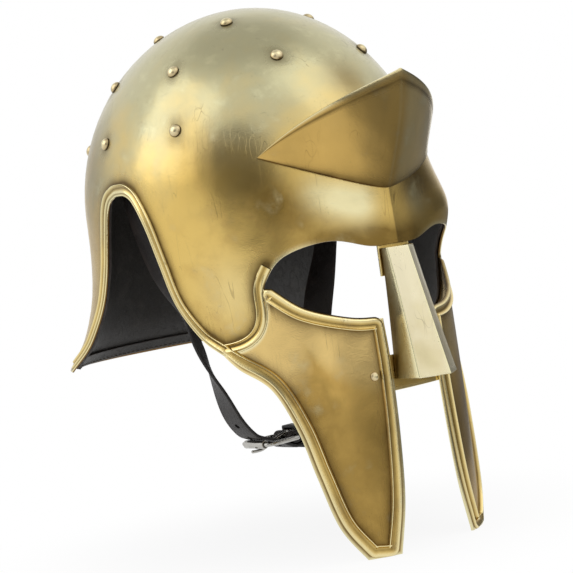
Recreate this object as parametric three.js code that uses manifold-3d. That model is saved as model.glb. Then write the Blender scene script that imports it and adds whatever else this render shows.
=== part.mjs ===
// Gladiator helmet: a beaten brass bowl with ear arches and a neck guard, a raised frontlet,
// a keeled nasal bar, two long cheek guards, round studs, a leather lining with its headband,
// and a leather chin strap closed by a roller buckle.
// Millimetres. +Z is up, the face looks along -Y, and +X is the wearer's left.
// The origin is the centre of the dome, on the level where it is widest.

import * as THREE from 'three';
import * as BufferGeometryUtils from 'three/addons/utils/BufferGeometryUtils.js';
import Module from 'manifold-3d';

const wasm = await Module();
wasm.setup();

// Bowl
const bowlHalfWidth = 105;
const bowlFrontReach = 122.5;
const bowlRearReach = 133;
const bowlHeight = 125;
const brassThickness = 1.5;
const neckDepth = 98;
const cheekDepth = 226;

// Eye openings
const eyeLine = 39;
const eyeCornerDepth = 55;
const eyeCornerAngle = 50;
const eyeLidRise = 7;
const eyeHeight = 44;

// Ear arches
const earApexBack = 12;
const earApexHeight = 13;
const earFrontRun = 74;
const earRearRun = 83;
const templeAngle = 71;
const templeDepth = 93;

// Brow swelling
const browSwell = 9;
const browSwellAngle = 38;
const browSwellSpreadAngle = 17;
const browSwellDepth = 20;
const browSwellReach = 22;

// Frontlet
const frontletAngle = 43;
const frontletEndHeight = 23;
const frontletCentreDepth = 5;
const frontletRise = 70;
const frontletStandoff = 42;
const frontletThickness = 1.3;
const frontletSeatGap = 0.8;

// Nasal bar, its tang and the bridge behind it
const nasalTopDepth = 41;
const nasalBottomDepth = 121;
const nasalTopProjection = 11.5;
const nasalBottomProjection = 33.5;
const nasalTopHalfWidth = 12;
const nasalBottomHalfWidth = 17.5;
const nasalFoldTop = 7;
const nasalFoldBottom = 11;
const nasalThickness = 1.6;
const tangWidth = 27;
const tangTopDepth = 16;
const tangBottomDepth = 58;
const bridgeHeight = 22;
const bridgeOverlap = 15;

// Edge beads
const beadInset = 6;
const beadWidth = 6;
const beadHeight = 1.8;
const beadSink = 1.1;

// Studs and rivets
const studHeadRadius = 4.2;
const studHeadHeight = 3;
const studShankRadius = 1.5;
const rivetHeadRadius = 3;
const rivetHeadHeight = 1.6;
const rivetShankRadius = 2;

// Leather
const liningThickness = 1.6;
const liningMargin = 3;
const hemHeight = 7;
const hemThickness = 1.4;
const headbandThickness = 2;
const headbandBottom = 18;
const headbandTop = 46;
const tabBottom = 38;
const crownClearance = 13;
const tabThickness = 1.6;
const tabDrop = 9;
const tabAngle = 42;
const laceRadius = 1.5;
const hemEndAngle = 3;

// Chin strap
const strapWidth = 20;
const strapThickness = 2.4;
const strapBack = 22;
const strapTopHeight = 33;
const strapTopMargin = 7;
const spacerRadius = 4.6;
const spacerThickness = 3;
const strapDepth = 164;
const strapHoleRadius = 2;
const strapTwistAngle = 48;

// Buckle
const buckleLength = 28;
const buckleInnerWidth = 25;
const buckleWire = 1.6;
const buckleCorner = 3.5;
const rollerWall = 0.9;
const rollerLength = 20;
const prongRadius = 1.25;
const prongSlot = 7;
const prongHoleLength = 14;
const prongHoleWidth = 4;
const keeperLength = 8;
const keeperThickness = 1.6;

// Clearances and overruns
const gap = 0.3;
const liningGap = 0.5;
const bandGap = 1.5;
const turningGap = 0.35;
const seamGap = 0.48;
const seamGapAngle = 0.48;
const cutOverrun = 4;
const tipTrim = 0.2;
const mergeTolerance = 1e-4;

// Depths of the inner layers below the bowl's outer surface
const frontInset = brassThickness + gap;
const liningInset = brassThickness + liningGap;
const hemInset = liningInset + liningThickness + liningGap;
const bandInset = liningInset + liningThickness + bandGap;
const tabInset = bandInset + headbandThickness + liningGap;

const degrees = Math.PI / 180;
const quarterTurn = 90;
const halfTurn = 2 * quarterTurn;
const fullTurn = 2 * halfTurn;
const dropPerLevel = bowlHeight * Math.PI / 2;

// Sections below the widest level, at shares of the cheek guards' and the neck guard's depth
const faceDepthShares = [0, 0.17, 0.4, 1];
const faceWidthShares = [1, 0.965, 0.88, 0.86];
const faceReachShares = [1, 1.012, 1.035, 1.055];
const faceSquareShares = [2, 2.1, 2.4, 2.5];
const napeDepthShares = [0, 0.5, 0.8, 1];
const napeWidthShares = [1, 1.02, 1.065, 1.11];
const napeReachShares = [1, 1, 1, 1.06];
const napeSquareShares = [2, 2.1, 2.5, 3];

// Smooth value at a place between listed stations, level at the first and straight on past the last
function between(places, values, place) {
  const last = places.length - 1;
  const slope = (i) => {
    if (i === 0) return 0;
    const next = Math.min(i + 1, last);
    return (values[next] - values[i - 1]) / (places[next] - places[i - 1]);
  };
  if (place <= places[0]) return values[0];
  if (place >= places[last]) return values[last] + slope(last) * (place - places[last]);
  let k = 0;
  while (place > places[k + 1]) k += 1;
  const span = places[k + 1] - places[k];
  const t = (place - places[k]) / span;
  const before = values[k] * (1 + 2 * t) * (1 - t) ** 2 + slope(k) * span * t * (1 - t) ** 2;
  const after = values[k + 1] * t * t * (3 - 2 * t) + slope(k + 1) * span * t * t * (t - 1);
  return before + after;
}

// Half width, reach and squareness of the level section at a height, in front or behind
function sectionAt(height, inFront) {
  const reach = inFront ? bowlFrontReach : bowlRearReach;
  if (height >= 0) {
    const shrink = Math.sqrt(Math.max(0, 1 - (height / bowlHeight) ** 2));
    return { halfWidth: bowlHalfWidth * shrink, reach: reach * shrink, squareness: 2 };
  }
  const share = -height / (inFront ? cheekDepth : neckDepth);
  const places = inFront ? faceDepthShares : napeDepthShares;
  return {
    halfWidth: bowlHalfWidth * between(places, inFront ? faceWidthShares : napeWidthShares, share),
    reach: reach * between(places, inFront ? faceReachShares : napeReachShares, share),
    squareness: between(places, inFront ? faceSquareShares : napeSquareShares, share),
  };
}

// How far the brow swells out at an angle in degrees from the front
function browAt(angle, height) {
  const across = (Math.abs(angle) - browSwellAngle) / browSwellSpreadAngle;
  const along = (height + browSwellDepth) / browSwellReach;
  return browSwell * Math.exp(-across * across - along * along);
}

// Point of the outer surface at an angle in degrees from the front and a height
function shellPoint(angle, height) {
  const c = Math.cos(angle * degrees);
  const s = Math.sin(angle * degrees);
  const { halfWidth, reach, squareness } = sectionAt(height, c > 0);
  const power = 2 / squareness;
  const point = new THREE.Vector3(
    halfWidth * Math.sign(s) * Math.abs(s) ** power,
    -reach * Math.sign(c) * Math.abs(c) ** power,
    height,
  );
  const swell = browAt(angle, height);
  return point.add(new THREE.Vector3(s * swell, -c * swell, 0));
}

// A level counts from 0 at the crown to 1 at the widest height, and on below it
function heightOf(level) {
  return level < 1 ? bowlHeight * Math.cos(level * Math.PI / 2) : -(level - 1) * dropPerLevel;
}

function levelOf(height) {
  return height > 0 ? Math.acos(Math.min(1, height / bowlHeight)) / (Math.PI / 2) : 1 - height / dropPerLevel;
}

// Outward normal of the shell
function shellNormal(angle, level) {
  const nudge = 0.002;
  const turn = 0.1;
  const down = shellPoint(angle, heightOf(level + nudge)).sub(shellPoint(angle, heightOf(level - nudge)));
  const along = shellPoint(angle + turn, heightOf(level)).sub(shellPoint(angle - turn, heightOf(level)));
  return down.cross(along).normalize();
}

// Point inset from the outer surface along its normal
function insetPoint(angle, level, inset) {
  if (level < 0.001) return new THREE.Vector3(0, 0, bowlHeight - inset);
  return shellPoint(angle, heightOf(level)).addScaledVector(shellNormal(angle, level), -inset);
}

// Angle from the front of the shell's point with a given Y at a height
function angleOf(y, height) {
  const { reach, squareness } = sectionAt(height, y < 0);
  const c = Math.sign(-y) * Math.abs(y / reach) ** (squareness / 2);
  return Math.acos(THREE.MathUtils.clamp(c, -1, 1)) / degrees;
}

// Turns a geometry's faces outward, with shared vertices merged and no empty faces
function facingOut(positions, index) {
  const loose = new THREE.BufferGeometry();
  loose.setAttribute('position', new THREE.Float32BufferAttribute(positions, 3));
  loose.setIndex(index);
  const merged = BufferGeometryUtils.mergeVertices(loose, mergeTolerance);
  const place = merged.getAttribute('position');
  const corner = (i) => new THREE.Vector3().fromBufferAttribute(place, i);
  const kept = [];
  let volume = 0;
  for (let i = 0; i < merged.index.count; i += 3) {
    const [a, b, c] = [0, 1, 2].map((j) => merged.index.getX(i + j));
    if (a === b || b === c || c === a) continue;
    kept.push(a, b, c);
    volume += corner(a).dot(corner(b).cross(corner(c)));
  }
  if (volume < 0) kept.reverse();
  merged.setIndex(kept);
  return merged;
}

// Solid between two matching grids of points, given as rows
function sheetSolid(outer, inner, wrapped) {
  const rows = outer.length;
  const columns = outer[0].length;
  const points = [...outer, ...inner].flat();
  const positions = points.flatMap((p) => [p.x, p.y, p.z]);
  const index = [];
  const at = (side, row, column) => (side * rows + row) * columns + (column % columns);
  const quad = (a, b, c, d) => {
    const level = points[a].distanceTo(points[c]) <= points[b].distanceTo(points[d]);
    index.push(...(level ? [a, b, c, a, c, d] : [a, b, d, b, c, d]));
  };
  const across = wrapped ? columns : columns - 1;
  for (let c = 0; c < across; c += 1) {
    for (let r = 0; r < rows - 1; r += 1) {
      quad(at(0, r, c), at(0, r + 1, c), at(0, r + 1, c + 1), at(0, r, c + 1));
      quad(at(1, r, c), at(1, r, c + 1), at(1, r + 1, c + 1), at(1, r + 1, c));
    }
    quad(at(0, 0, c), at(0, 0, c + 1), at(1, 0, c + 1), at(1, 0, c));
    quad(at(0, rows - 1, c), at(1, rows - 1, c), at(1, rows - 1, c + 1), at(0, rows - 1, c + 1));
  }
  for (let r = 0; r < rows - 1 && !wrapped; r += 1) {
    quad(at(0, r, 0), at(1, r, 0), at(1, r + 1, 0), at(0, r + 1, 0));
    quad(at(0, r, across), at(0, r + 1, across), at(1, r + 1, across), at(1, r, across));
  }
  return facingOut(positions, index);
}

// Solid through rings of points, closed on itself or with a cap at each end
function loft(rings, looped = false) {
  const sides = rings[0].length;
  const positions = rings.flat().flatMap((p) => [p.x, p.y, p.z]);
  const index = [];
  const at = (ring, side) => (ring % rings.length) * sides + (side % sides);
  const spans = looped ? rings.length : rings.length - 1;
  for (let r = 0; r < spans; r += 1) {
    for (let s = 0; s < sides; s += 1) {
      index.push(at(r, s), at(r, s + 1), at(r + 1, s + 1), at(r, s), at(r + 1, s + 1), at(r + 1, s));
    }
  }
  for (let s = 1; s < sides - 1 && !looped; s += 1) {
    index.push(at(0, 0), at(0, s + 1), at(0, s));
    index.push(at(spans, 0), at(spans, s), at(spans, s + 1));
  }
  return facingOut(positions, index);
}

function toManifold(geometry) {
  const bare = geometry.clone();
  bare.deleteAttribute('normal');
  bare.deleteAttribute('uv');
  const merged = BufferGeometryUtils.mergeVertices(bare, mergeTolerance);
  return new wasm.Manifold(new wasm.Mesh({
    numProp: 3,
    vertProperties: merged.getAttribute('position').array,
    triVerts: new Uint32Array(merged.index.array),
  }));
}

function fromManifold(manifold) {
  const mesh = manifold.getMesh();
  const geometry = new THREE.BufferGeometry();
  geometry.setAttribute('position', new THREE.BufferAttribute(mesh.vertProperties, 3));
  geometry.setIndex(new THREE.BufferAttribute(mesh.triVerts, 1));
  return geometry;
}

function joined(geometry, additions) {
  return fromManifold(additions.reduce((body, extra) => body.add(toManifold(extra)), toManifold(geometry)));
}

function cut(geometry, cutters) {
  return fromManifold(cutters.reduce((body, tool) => body.subtract(toManifold(tool)), toManifold(geometry)));
}

// Places a geometry drawn along +Y at a point, with its +Y turned to a direction
function aimed(geometry, point, direction) {
  const turn = new THREE.Quaternion().setFromUnitVectors(new THREE.Vector3(0, 1, 0), direction);
  return geometry.applyQuaternion(turn).translate(point.x, point.y, point.z);
}

// Outline curves in the plane of angle and height, for the wearer's left half
const planar = (list) => new THREE.SplineCurve(list.map(([a, h]) => new THREE.Vector2(a, h)));
const eyeCorner = [eyeCornerAngle, -eyeCornerDepth];
const templeTip = [templeAngle, -templeDepth];

// Upper eye lid, as shares of the corner's angle and of the lid's rise above the eye line
function upperLid() {
  const lidShares = [[0, 0], [0.2, 0.05], [0.5, 1], [0.82, 0.15]];
  const points = lidShares.map(([a, r]) => [a * eyeCornerAngle, -eyeLine + r * eyeLidRise]);
  return planar([...points, eyeCorner]);
}

// Seam from the eye's outer corner down and back to the temple's tip
function seam(angleShift, heightShift) {
  const start = new THREE.Vector2(eyeCorner[0] - angleShift, eyeCorner[1] - heightShift);
  const end = new THREE.Vector2(templeTip[0] - angleShift, templeTip[1] - heightShift);
  return new THREE.QuadraticBezierCurve(start, new THREE.Vector2(start.x, end.y), end);
}

// Ear arch in side view, as shares of its run and drop, in front of its apex and behind it
const earFrontShares = [
  [0, 0], [0.09, 0.008], [0.18, 0.05], [0.26, 0.14], [0.325, 0.26], [0.385, 0.46], [0.46, 0.71], [0.64, 0.9],
];
const earRearShares = [
  [0.09, 0.008], [0.19, 0.06], [0.29, 0.25], [0.38, 0.47], [0.53, 0.7], [0.75, 0.89], [1, 1],
];

function earArch() {
  const frontDrop = earApexHeight + templeDepth;
  const rearDrop = earApexHeight + neckDepth;
  const place = (y, height) => [angleOf(y, height), height];
  const front = earFrontShares.map(([run, drop]) =>
    place(earApexBack - run * earFrontRun, earApexHeight - drop * frontDrop));
  const rear = earRearShares.map(([run, drop]) =>
    place(earApexBack + run * earRearRun, earApexHeight - drop * rearDrop));
  return planar([templeTip, ...front.reverse(), ...rear]);
}

const seamStepCount = 4;
const beadColumnCount = 8;

// Lower edge of the bowl from the front to the back, on the wearer's left
function bowlEdge() {
  const arch = earArch().getPoints(22);
  const corner = arch[arch.length - 1];
  const neck = new THREE.LineCurve(corner, new THREE.Vector2(halfTurn, -neckDepth));
  return [
    ...upperLid().getPoints(7),
    ...seam(0, 0).getPoints(seamStepCount).slice(1),
    ...arch.slice(1),
    ...neck.getPoints(11).slice(1),
  ];
}

// Both halves of an edge, once round from the front
function roundEdge(half) {
  const other = half.slice(1, -1).reverse().map((p) => new THREE.Vector2(fullTurn - p.x, p.y));
  return [...half, ...other];
}

const bowlRowShares = [0, 0.13, 0.27, 0.41, 0.54, 0.66, 0.77, 0.87, 0.94, 1];

// Grid of points under an edge list, from the crown down to the edge
function crownGrid(edge, inset, margin) {
  return bowlRowShares.map((share) =>
    edge.map((p) => insetPoint(p.x, Math.min(share * levelOf(p.y), levelOf(p.y + margin)), inset)));
}

// Height of the bead's section, as a share of its full height, across its width
const beadShares = [[-1, 0], [-0.5, 0.75], [0, 1], [0.5, 0.75], [1, 0]];

// Raised bead along points of the outer surface
function beadAlong(points, normals) {
  const beside = (k) => points[THREE.MathUtils.clamp(k, 0, points.length - 1)];
  return loft(points.map((point, k) => {
    const across = normals[k].clone().cross(beside(k + 1).clone().sub(beside(k - 1))).normalize();
    return beadShares.map(([side, rise]) => point.clone()
      .addScaledVector(across, side * beadWidth / 2)
      .addScaledVector(normals[k], rise > 0 ? rise * beadHeight : -beadSink));
  }));
}

// Bead set in from a run of edge points, on one side of the helmet
function edgeBead(run, side) {
  const edge = run.map((p) => new THREE.Vector2(side * p.x, p.y));
  const points = edge.map((p) => insetPoint(p.x, levelOf(p.y), 0));
  const normals = edge.map((p) => shellNormal(p.x, levelOf(p.y)));
  const last = points.length - 1;
  const centres = points.map((point, k) => {
    const along = points[Math.min(k + 1, last)].clone().sub(points[Math.max(k - 1, 0)]);
    return point.clone().addScaledVector(normals[k].clone().cross(along).normalize(), side * beadInset);
  });
  return beadAlong(centres, normals);
}

// Round-headed stud or rivet drawn along +Y, its head above and its shank below
function studGeometry(headRadius, headHeight, shankRadius, shankLength) {
  const arc = [10, 48].map((a) => new THREE.Vector2(
    headRadius * Math.cos(a * degrees),
    headHeight * Math.sin(a * degrees),
  ));
  const profile = [
    new THREE.Vector2(0, -shankLength),
    new THREE.Vector2(shankRadius, -shankLength),
    new THREE.Vector2(shankRadius, 0),
    new THREE.Vector2(headRadius, 0),
    ...arc,
    new THREE.Vector2(0, headHeight),
  ];
  return new THREE.LatheGeometry(profile, 8);
}

// Places of the studs: a height share of the bowl and an angle from the front
const studRings = [
  { heightShare: 0.38, angles: [70, 105, 140, halfTurn] },
  { heightShare: 0.68, angles: [28, 75, 122, 165] },
  { heightShare: 0.9, angles: [50, 130] },
];

function studPlaces() {
  const places = [];
  for (const { heightShare, angles } of studRings) {
    for (const angle of angles) {
      for (const side of angle === halfTurn ? [1] : [1, -1]) {
        places.push({ angle: side * angle, level: levelOf(heightShare * bowlHeight) });
      }
    }
  }
  return places;
}

function bowlGeometry() {
  const half = bowlEdge();
  const edge = roundEdge(half);
  const shell = sheetSolid(crownGrid(edge, 0, 0), crownGrid(edge, brassThickness, 0), true);
  const arch = earArch().getPoints(24);
  const temple = seam(0, 0).getPoints(beadColumnCount).slice(0, -1);
  const beads = [1, -1].flatMap((side) => [edgeBead(arch, side), edgeBead(temple, side)]);
  const holeLength = brassThickness + cutOverrun;
  const holes = studPlaces().map(({ angle, level }) => aimed(
    new THREE.CylinderGeometry(studShankRadius + gap, studShankRadius + gap, holeLength, 8),
    insetPoint(angle, level, brassThickness / 2), shellNormal(angle, level),
  ));
  return cut(joined(shell, beads), holes);
}

// Cheek guard, blended between its four edges in the plane of angle and height
const cheekFrontShares = [[9.5, 0], [8.8, 0.22], [9.3, 0.5], [11.2, 0.78], [15.5, 1]];
const cheekRearShares = [
  [1, 0], [0.93, 0.075], [0.785, 0.18], [0.685, 0.38], [0.621, 0.6], [0.54, 0.84], [0.414, 1],
];

function cheekEdges() {
  const lidTop = eyeLine + eyeHeight;
  const back = seam(seamGapAngle, seamGap);
  const corner = back.getPoint(0);
  const lid = planar([
    [cheekFrontShares[0][0], -lidTop], [eyeCornerAngle * 0.45, -lidTop + eyeLidRise * 0.3],
    [eyeCornerAngle * 0.8, -lidTop + eyeHeight * 0.28], [corner.x, corner.y],
  ]);
  const end = back.getPoint(1);
  const drop = cheekDepth + tipTrim - lidTop;
  const front = planar(cheekFrontShares.map(([angle, share]) => [angle, -lidTop - share * drop]));
  const rear = planar(cheekRearShares.map(([turn, share]) =>
    [end.x * turn, end.y - share * (cheekDepth + tipTrim + end.y)]));
  return { lid, back, front, rear };
}

const cheekColumnCount = 12;
const cheekRowCount = 9;
const cornerShare = 1 - seamStepCount / cheekColumnCount;

// Place on the cheek guard: u from its front edge to its rear, v from the eye to the tip
function cheekPoint(u, v, edges) {
  const top = u < cornerShare ? edges.lid.getPoint(u / cornerShare)
    : edges.back.getPoint((u - cornerShare) / (1 - cornerShare));
  const left = edges.front.getPoint(v);
  const right = edges.rear.getPoint(v);
  const ends = [[edges.lid, 0], [edges.back, 1], [edges.front, 1], [edges.rear, 1]];
  const corners = ends.map(([edge, end]) => edge.getPoint(end));
  const bottom = corners[2].clone().lerp(corners[3], u);
  const blend = (axis) => (1 - v) * top[axis] + v * bottom[axis] + (1 - u) * left[axis] + u * right[axis]
    - (1 - u) * (1 - v) * corners[0][axis] - u * (1 - v) * corners[1][axis]
    - (1 - u) * v * corners[2][axis] - u * v * corners[3][axis];
  return new THREE.Vector2(blend('x'), blend('y'));
}

// Open outline of the cheek guard's bead, from the eye's corner round by the tip to the seam, in shares
// of its width and its length
function cheekBeadRoute(place) {
  const widthAt = (v) => place(0, v).distanceTo(place(1, v));
  const lengthAt = (u) => place(u, 0).distanceTo(place(u, 1));
  const [high, low] = [beadInset / lengthAt(0.5), 1 - beadInset / lengthAt(0.5)];
  const spread = (count, from, to) => Array.from({ length: count }, (_, k) => from + (to - from) * k / count);
  const inside = (u, v) => {
    const margin = beadInset / widthAt(v);
    return [margin + u * (1 - 2 * margin), v];
  };
  return [
    ...spread(beadColumnCount, cornerShare, 0).map((u) => inside(u, high)),
    ...spread(cheekRowCount, high, low).map((v) => inside(0, v)),
    ...spread(beadColumnCount, 0, 1).map((u) => inside(u, low)),
    ...spread(cheekRowCount, low, high / 2).map((v) => inside(1, v)),
    inside(1, high / 2),
  ];
}

// Takes the cheek guards' tips off level
function tipCut() {
  const deep = 2 * tipTrim;
  const block = new THREE.BoxGeometry(3 * bowlHalfWidth, 3 * bowlFrontReach, deep);
  return block.translate(0, 0, -cheekDepth - deep / 2);
}

function cheekGeometry(side) {
  const edges = cheekEdges();
  const at = (u, v) => {
    const p = cheekPoint(u, v, edges);
    return [side * p.x, levelOf(p.y)];
  };
  const place = (u, v) => insetPoint(...at(u, v), 0);
  const row = (v, inset) => Array.from({ length: cheekColumnCount + 1 }, (_, c) =>
    insetPoint(...at(c / cheekColumnCount, v), inset));
  const grid = (inset) => Array.from({ length: cheekRowCount + 1 }, (_, r) => row(r / cheekRowCount, inset));
  const route = cheekBeadRoute(place);
  const normals = route.map(([u, v]) => shellNormal(...at(u, v)));
  const bead = beadAlong(route.map(([u, v]) => place(u, v)), normals);
  return cut(joined(sheetSolid(grid(0), grid(brassThickness), false), [bead]), [tipCut()]);
}

// Frontlet: a keeled crescent that leans out from the brow
const frontletKeenness = { top: 0.65, prow: 0.9 };
const frontletPowers = { sweep: 1.3, curl: 1.15 };

function frontletGeometry() {
  const columns = 20;
  const rows = 6;
  const seat = frontletThickness + frontletSeatGap;
  const outline = (u, keenness) => keenness * (1 - Math.abs(u)) + (1 - keenness) * (1 - u * u);
  const point = (u, v, inset) => {
    const angle = u * frontletAngle;
    const rise = outline(u, frontletKeenness.top);
    const sweep = Math.abs(u) ** frontletPowers.sweep;
    const low = THREE.MathUtils.lerp(-frontletCentreDepth, frontletEndHeight, sweep);
    const base = insetPoint(angle, levelOf(low), -seat);
    const outward = new THREE.Vector3(Math.sin(angle * degrees), -Math.cos(angle * degrees), 0);
    const lift = frontletRise * rise * v;
    const wall = insetPoint(angle, levelOf(low + lift), -seat);
    const proud = frontletStandoff * outline(u, frontletKeenness.prow) * v ** frontletPowers.curl;
    return new THREE.Vector3(wall.x, wall.y, base.z + lift).addScaledVector(outward, proud - inset);
  };
  const grid = (inset) => Array.from({ length: rows + 1 }, (_, r) =>
    Array.from({ length: columns + 1 }, (__, c) => point(2 * c / columns - 1, r / rows, inset)));
  return sheetSolid(grid(0), grid(frontletThickness), false);
}

// Reach of the bar's back edge where it meets the strip behind it, at a height
function backReach(halfWidth, height) {
  return -insetPoint(angleAcross(halfWidth, height), levelOf(height), frontInset).y + 2 * gap;
}

// Places across the bar, and how far each lies behind its keel as a share of the fold's depth
const nasalSideShares = [1, 0.94, 0.5, 0, -0.5, -0.94, -1];
const nasalFoldShares = [1, 1, 0.48, 0, 0.48, 1, 1];
const nasalPowers = { flare: 1.4 };

// Keeled bar: a folded sheet, open behind, whose back edges rest on the tang and on the bridge
function nasalGeometry() {
  const rows = 6;
  const backTop = backReach(nasalTopHalfWidth, -nasalTopDepth);
  const backBottom = backReach(nasalBottomHalfWidth, -nasalBottomDepth);
  const grid = (inset) => Array.from({ length: rows + 1 }, (_, r) => {
    const t = r / rows;
    const flare = t ** nasalPowers.flare;
    const half = THREE.MathUtils.lerp(nasalTopHalfWidth, nasalBottomHalfWidth, flare) - inset;
    const fold = THREE.MathUtils.lerp(nasalFoldTop, nasalFoldBottom, t);
    const reach = bowlFrontReach + THREE.MathUtils.lerp(nasalTopProjection, nasalBottomProjection, t);
    const height = -THREE.MathUtils.lerp(nasalTopDepth, nasalBottomDepth, t);
    return nasalSideShares.map((share, k) => {
      const back = -THREE.MathUtils.lerp(backTop, backBottom, t);
      const front = nasalFoldShares[k] * fold + inset - reach;
      return new THREE.Vector3(half * share, Math.abs(share) === 1 ? back : front, height);
    });
  });
  return sheetSolid(grid(0), grid(nasalThickness), false);
}

// Strip on the inside of the face, between two angles and two depths
function faceStrip(angleA, angleB, top, bottom, inset, thickness, columns, rows) {
  const grid = (depth) => Array.from({ length: rows + 1 }, (_, r) =>
    Array.from({ length: columns + 1 }, (__, c) => insetPoint(
      THREE.MathUtils.lerp(angleA, angleB, c / columns),
      levelOf(THREE.MathUtils.lerp(top, bottom, r / rows)), depth,
    )));
  return sheetSolid(grid(inset), grid(inset + thickness), false);
}

const bridgeTopDepth = nasalBottomDepth - bridgeOverlap;
const bridgeBottomDepth = bridgeTopDepth + bridgeHeight;

// Distance of the bridge's rivets from the middle: just past the beads of the cheek guards' front edges
function bridgeRivetX() {
  const height = -(bridgeTopDepth + bridgeBottomDepth) / 2;
  const past = cheekEdges().front.getPoints(80).find((p) => p.y <= height);
  return shellPoint(past.x, past.y).x + beadInset + beadWidth / 2 + rivetHeadRadius + gap;
}

function bridgeGeometry() {
  const angle = angleAcross(bridgeRivetX() + 2 * rivetHeadRadius, -bridgeTopDepth);
  return faceStrip(-angle, angle, -bridgeTopDepth, -bridgeBottomDepth, frontInset, brassThickness, 8, 2);
}

// Angle at which the face is a given distance from the middle
function angleAcross(x, height) {
  const { halfWidth, squareness } = sectionAt(height, true);
  return Math.asin((x / halfWidth) ** (squareness / 2)) / degrees;
}

function tangGeometry() {
  const angle = angleAcross(tangWidth / 2, -eyeLine);
  return faceStrip(-angle, angle, -tangTopDepth, -tangBottomDepth, liningInset, brassThickness, 6, 5);
}

function liningGeometry() {
  const edge = roundEdge(bowlEdge());
  const outer = crownGrid(edge, liningInset, liningMargin);
  const inner = crownGrid(edge, liningInset + liningThickness, liningMargin);
  return cut(sheetSolid(outer, inner, true), [tangNotch()]);
}

// Room in the lining's front edge for the nasal bar's tang
function tangNotch() {
  const wide = tangWidth + 2 * liningGap;
  const tall = nasalBottomDepth - tangTopDepth;
  const notch = new THREE.BoxGeometry(wide, bowlFrontReach / 3, tall);
  return notch.translate(0, -bowlFrontReach, -tangTopDepth + liningGap - tall / 2);
}

function hemGeometry() {
  const start = bowlEdge().find((p) => p.y <= -neckDepth).x + hemEndAngle;
  const bottom = -neckDepth + liningMargin;
  return faceStrip(start, fullTurn - start, bottom + hemHeight, bottom, hemInset, hemThickness, 22, 1);
}

function ringStrip(top, bottom, inset, thickness, columns) {
  const grid = (depth) => [top, (top + bottom) / 2, bottom].map((height) =>
    Array.from({ length: columns }, (_, c) => insetPoint(c * fullTurn / columns, levelOf(height), depth)));
  return sheetSolid(grid(inset), grid(inset + thickness), true);
}

// Middles of the crown tabs, in degrees from the front, clear of the strap's ends
const tabMiddleAngles = [0, 52, 132, 180, 228, 308];

const tabTop = bowlHeight - crownClearance;

// Width of a tab at its lower and upper ends
const tabWidthShares = [1, 0.82];

// Leather tongue of the crown liner, leaning in from the headband towards the lace
function tabGeometry(middle) {
  const rows = 5;
  const columns = 4;
  const grid = (depth) => Array.from({ length: rows + 1 }, (_, r) => {
    const t = r / rows;
    const height = THREE.MathUtils.lerp(tabBottom, tabTop, t);
    const half = tabAngle / 2 * THREE.MathUtils.lerp(...tabWidthShares, t);
    return Array.from({ length: columns + 1 }, (_, c) =>
      insetPoint(middle + half * (2 * c / columns - 1), levelOf(height), tabInset + tabDrop * t + depth));
  });
  return sheetSolid(grid(0), grid(tabThickness), false);
}

// Frames along a route in the plane of the strap loop, with a twist about the route
function strapFrames(route, steps, twistAt) {
  const points = route.getPoints(steps);
  const travelled = [0];
  for (let k = 1; k <= steps; k += 1) {
    travelled.push(travelled[k - 1] + points[k].distanceTo(points[k - 1]));
  }
  return points.map((p, k) => {
    const t = travelled[k] / travelled[steps];
    const tangent = points[Math.min(k + 1, steps)].clone().sub(points[Math.max(k - 1, 0)]).normalize();
    const across = new THREE.Vector3(0, 1, 0).applyAxisAngle(tangent, twistAt(t) * degrees);
    const normal = tangent.clone().cross(across).normalize();
    return { p, across, normal };
  });
}

function strapSolid(frames, width, thickness) {
  return loft(frames.map(({ p, across, normal }) => [[-1, -1], [1, -1], [1, 1], [-1, 1]].map(([a, n]) =>
    p.clone().addScaledVector(across, a * width / 2).addScaledVector(normal, n * thickness / 2))));
}

// The loop's plane: X across, height up
const loopPoint = (x, height) => new THREE.Vector3(x, strapBack, height);

// Wall of the headband's inside where the strap hangs
function wallAt(back, height, inset) {
  return insetPoint(angleOf(back, height), levelOf(height), inset);
}

const spacerSeatX = wallAt(strapBack + spacerRadius, strapTopHeight + spacerRadius, tabInset).x;
const strapTopX = spacerSeatX - spacerThickness - gap - strapThickness / 2;
const buckleHeight = -strapDepth;
const buckleHalf = buckleLength / 2;
const rollerRadius = buckleWire + turningGap + rollerWall;
const turnRadius = buckleWire + gap + strapThickness / 2;
const lap = strapThickness + gap;

// Free hang of each strap: shares of the way in from the top, and of the drop
const rightHangShares = [[1, 0.1], [0.96, 0.2], [0.84, 0.38], [0.64, 0.57], [0.47, 0.76], [0.34, 0.9]];
const leftHangShares = [[1, 0.1], [0.96, 0.2], [0.84, 0.38], [0.68, 0.57], [0.56, 0.76], [0.47, 0.9]];

function hangPoints(side, shares) {
  const drop = strapTopHeight + strapDepth;
  return [
    loopPoint(side * strapTopX, strapTopHeight + strapTopMargin),
    loopPoint(side * strapTopX, strapTopHeight),
    ...shares.map(([x, share]) => loopPoint(side * strapTopX * x, strapTopHeight - share * drop)),
  ];
}

const nearBuckle = (x, height) => loopPoint(x, buckleHeight + height);

// The right strap passes behind the roller, over the folded left strap and through the keeper
function rightRoute() {
  const behind = rollerRadius + gap + strapThickness / 2;
  const over = turnRadius + lap;
  return new THREE.CatmullRomCurve3([
    ...hangPoints(-1, rightHangShares),
    nearBuckle(-buckleHalf * 1.4, behind * 1.75),
    nearBuckle(-buckleHalf, behind * 1.07),
    nearBuckle(0, 0),
    nearBuckle(buckleHalf, -over * 1.06),
    nearBuckle(buckleHalf * 1.6, -over * 0.78),
    nearBuckle(buckleHalf * 2.15, -over * 0.55),
    nearBuckle(buckleHalf * 2.9, -over * 0.1),
  ], false, 'centripetal');
}

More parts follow.
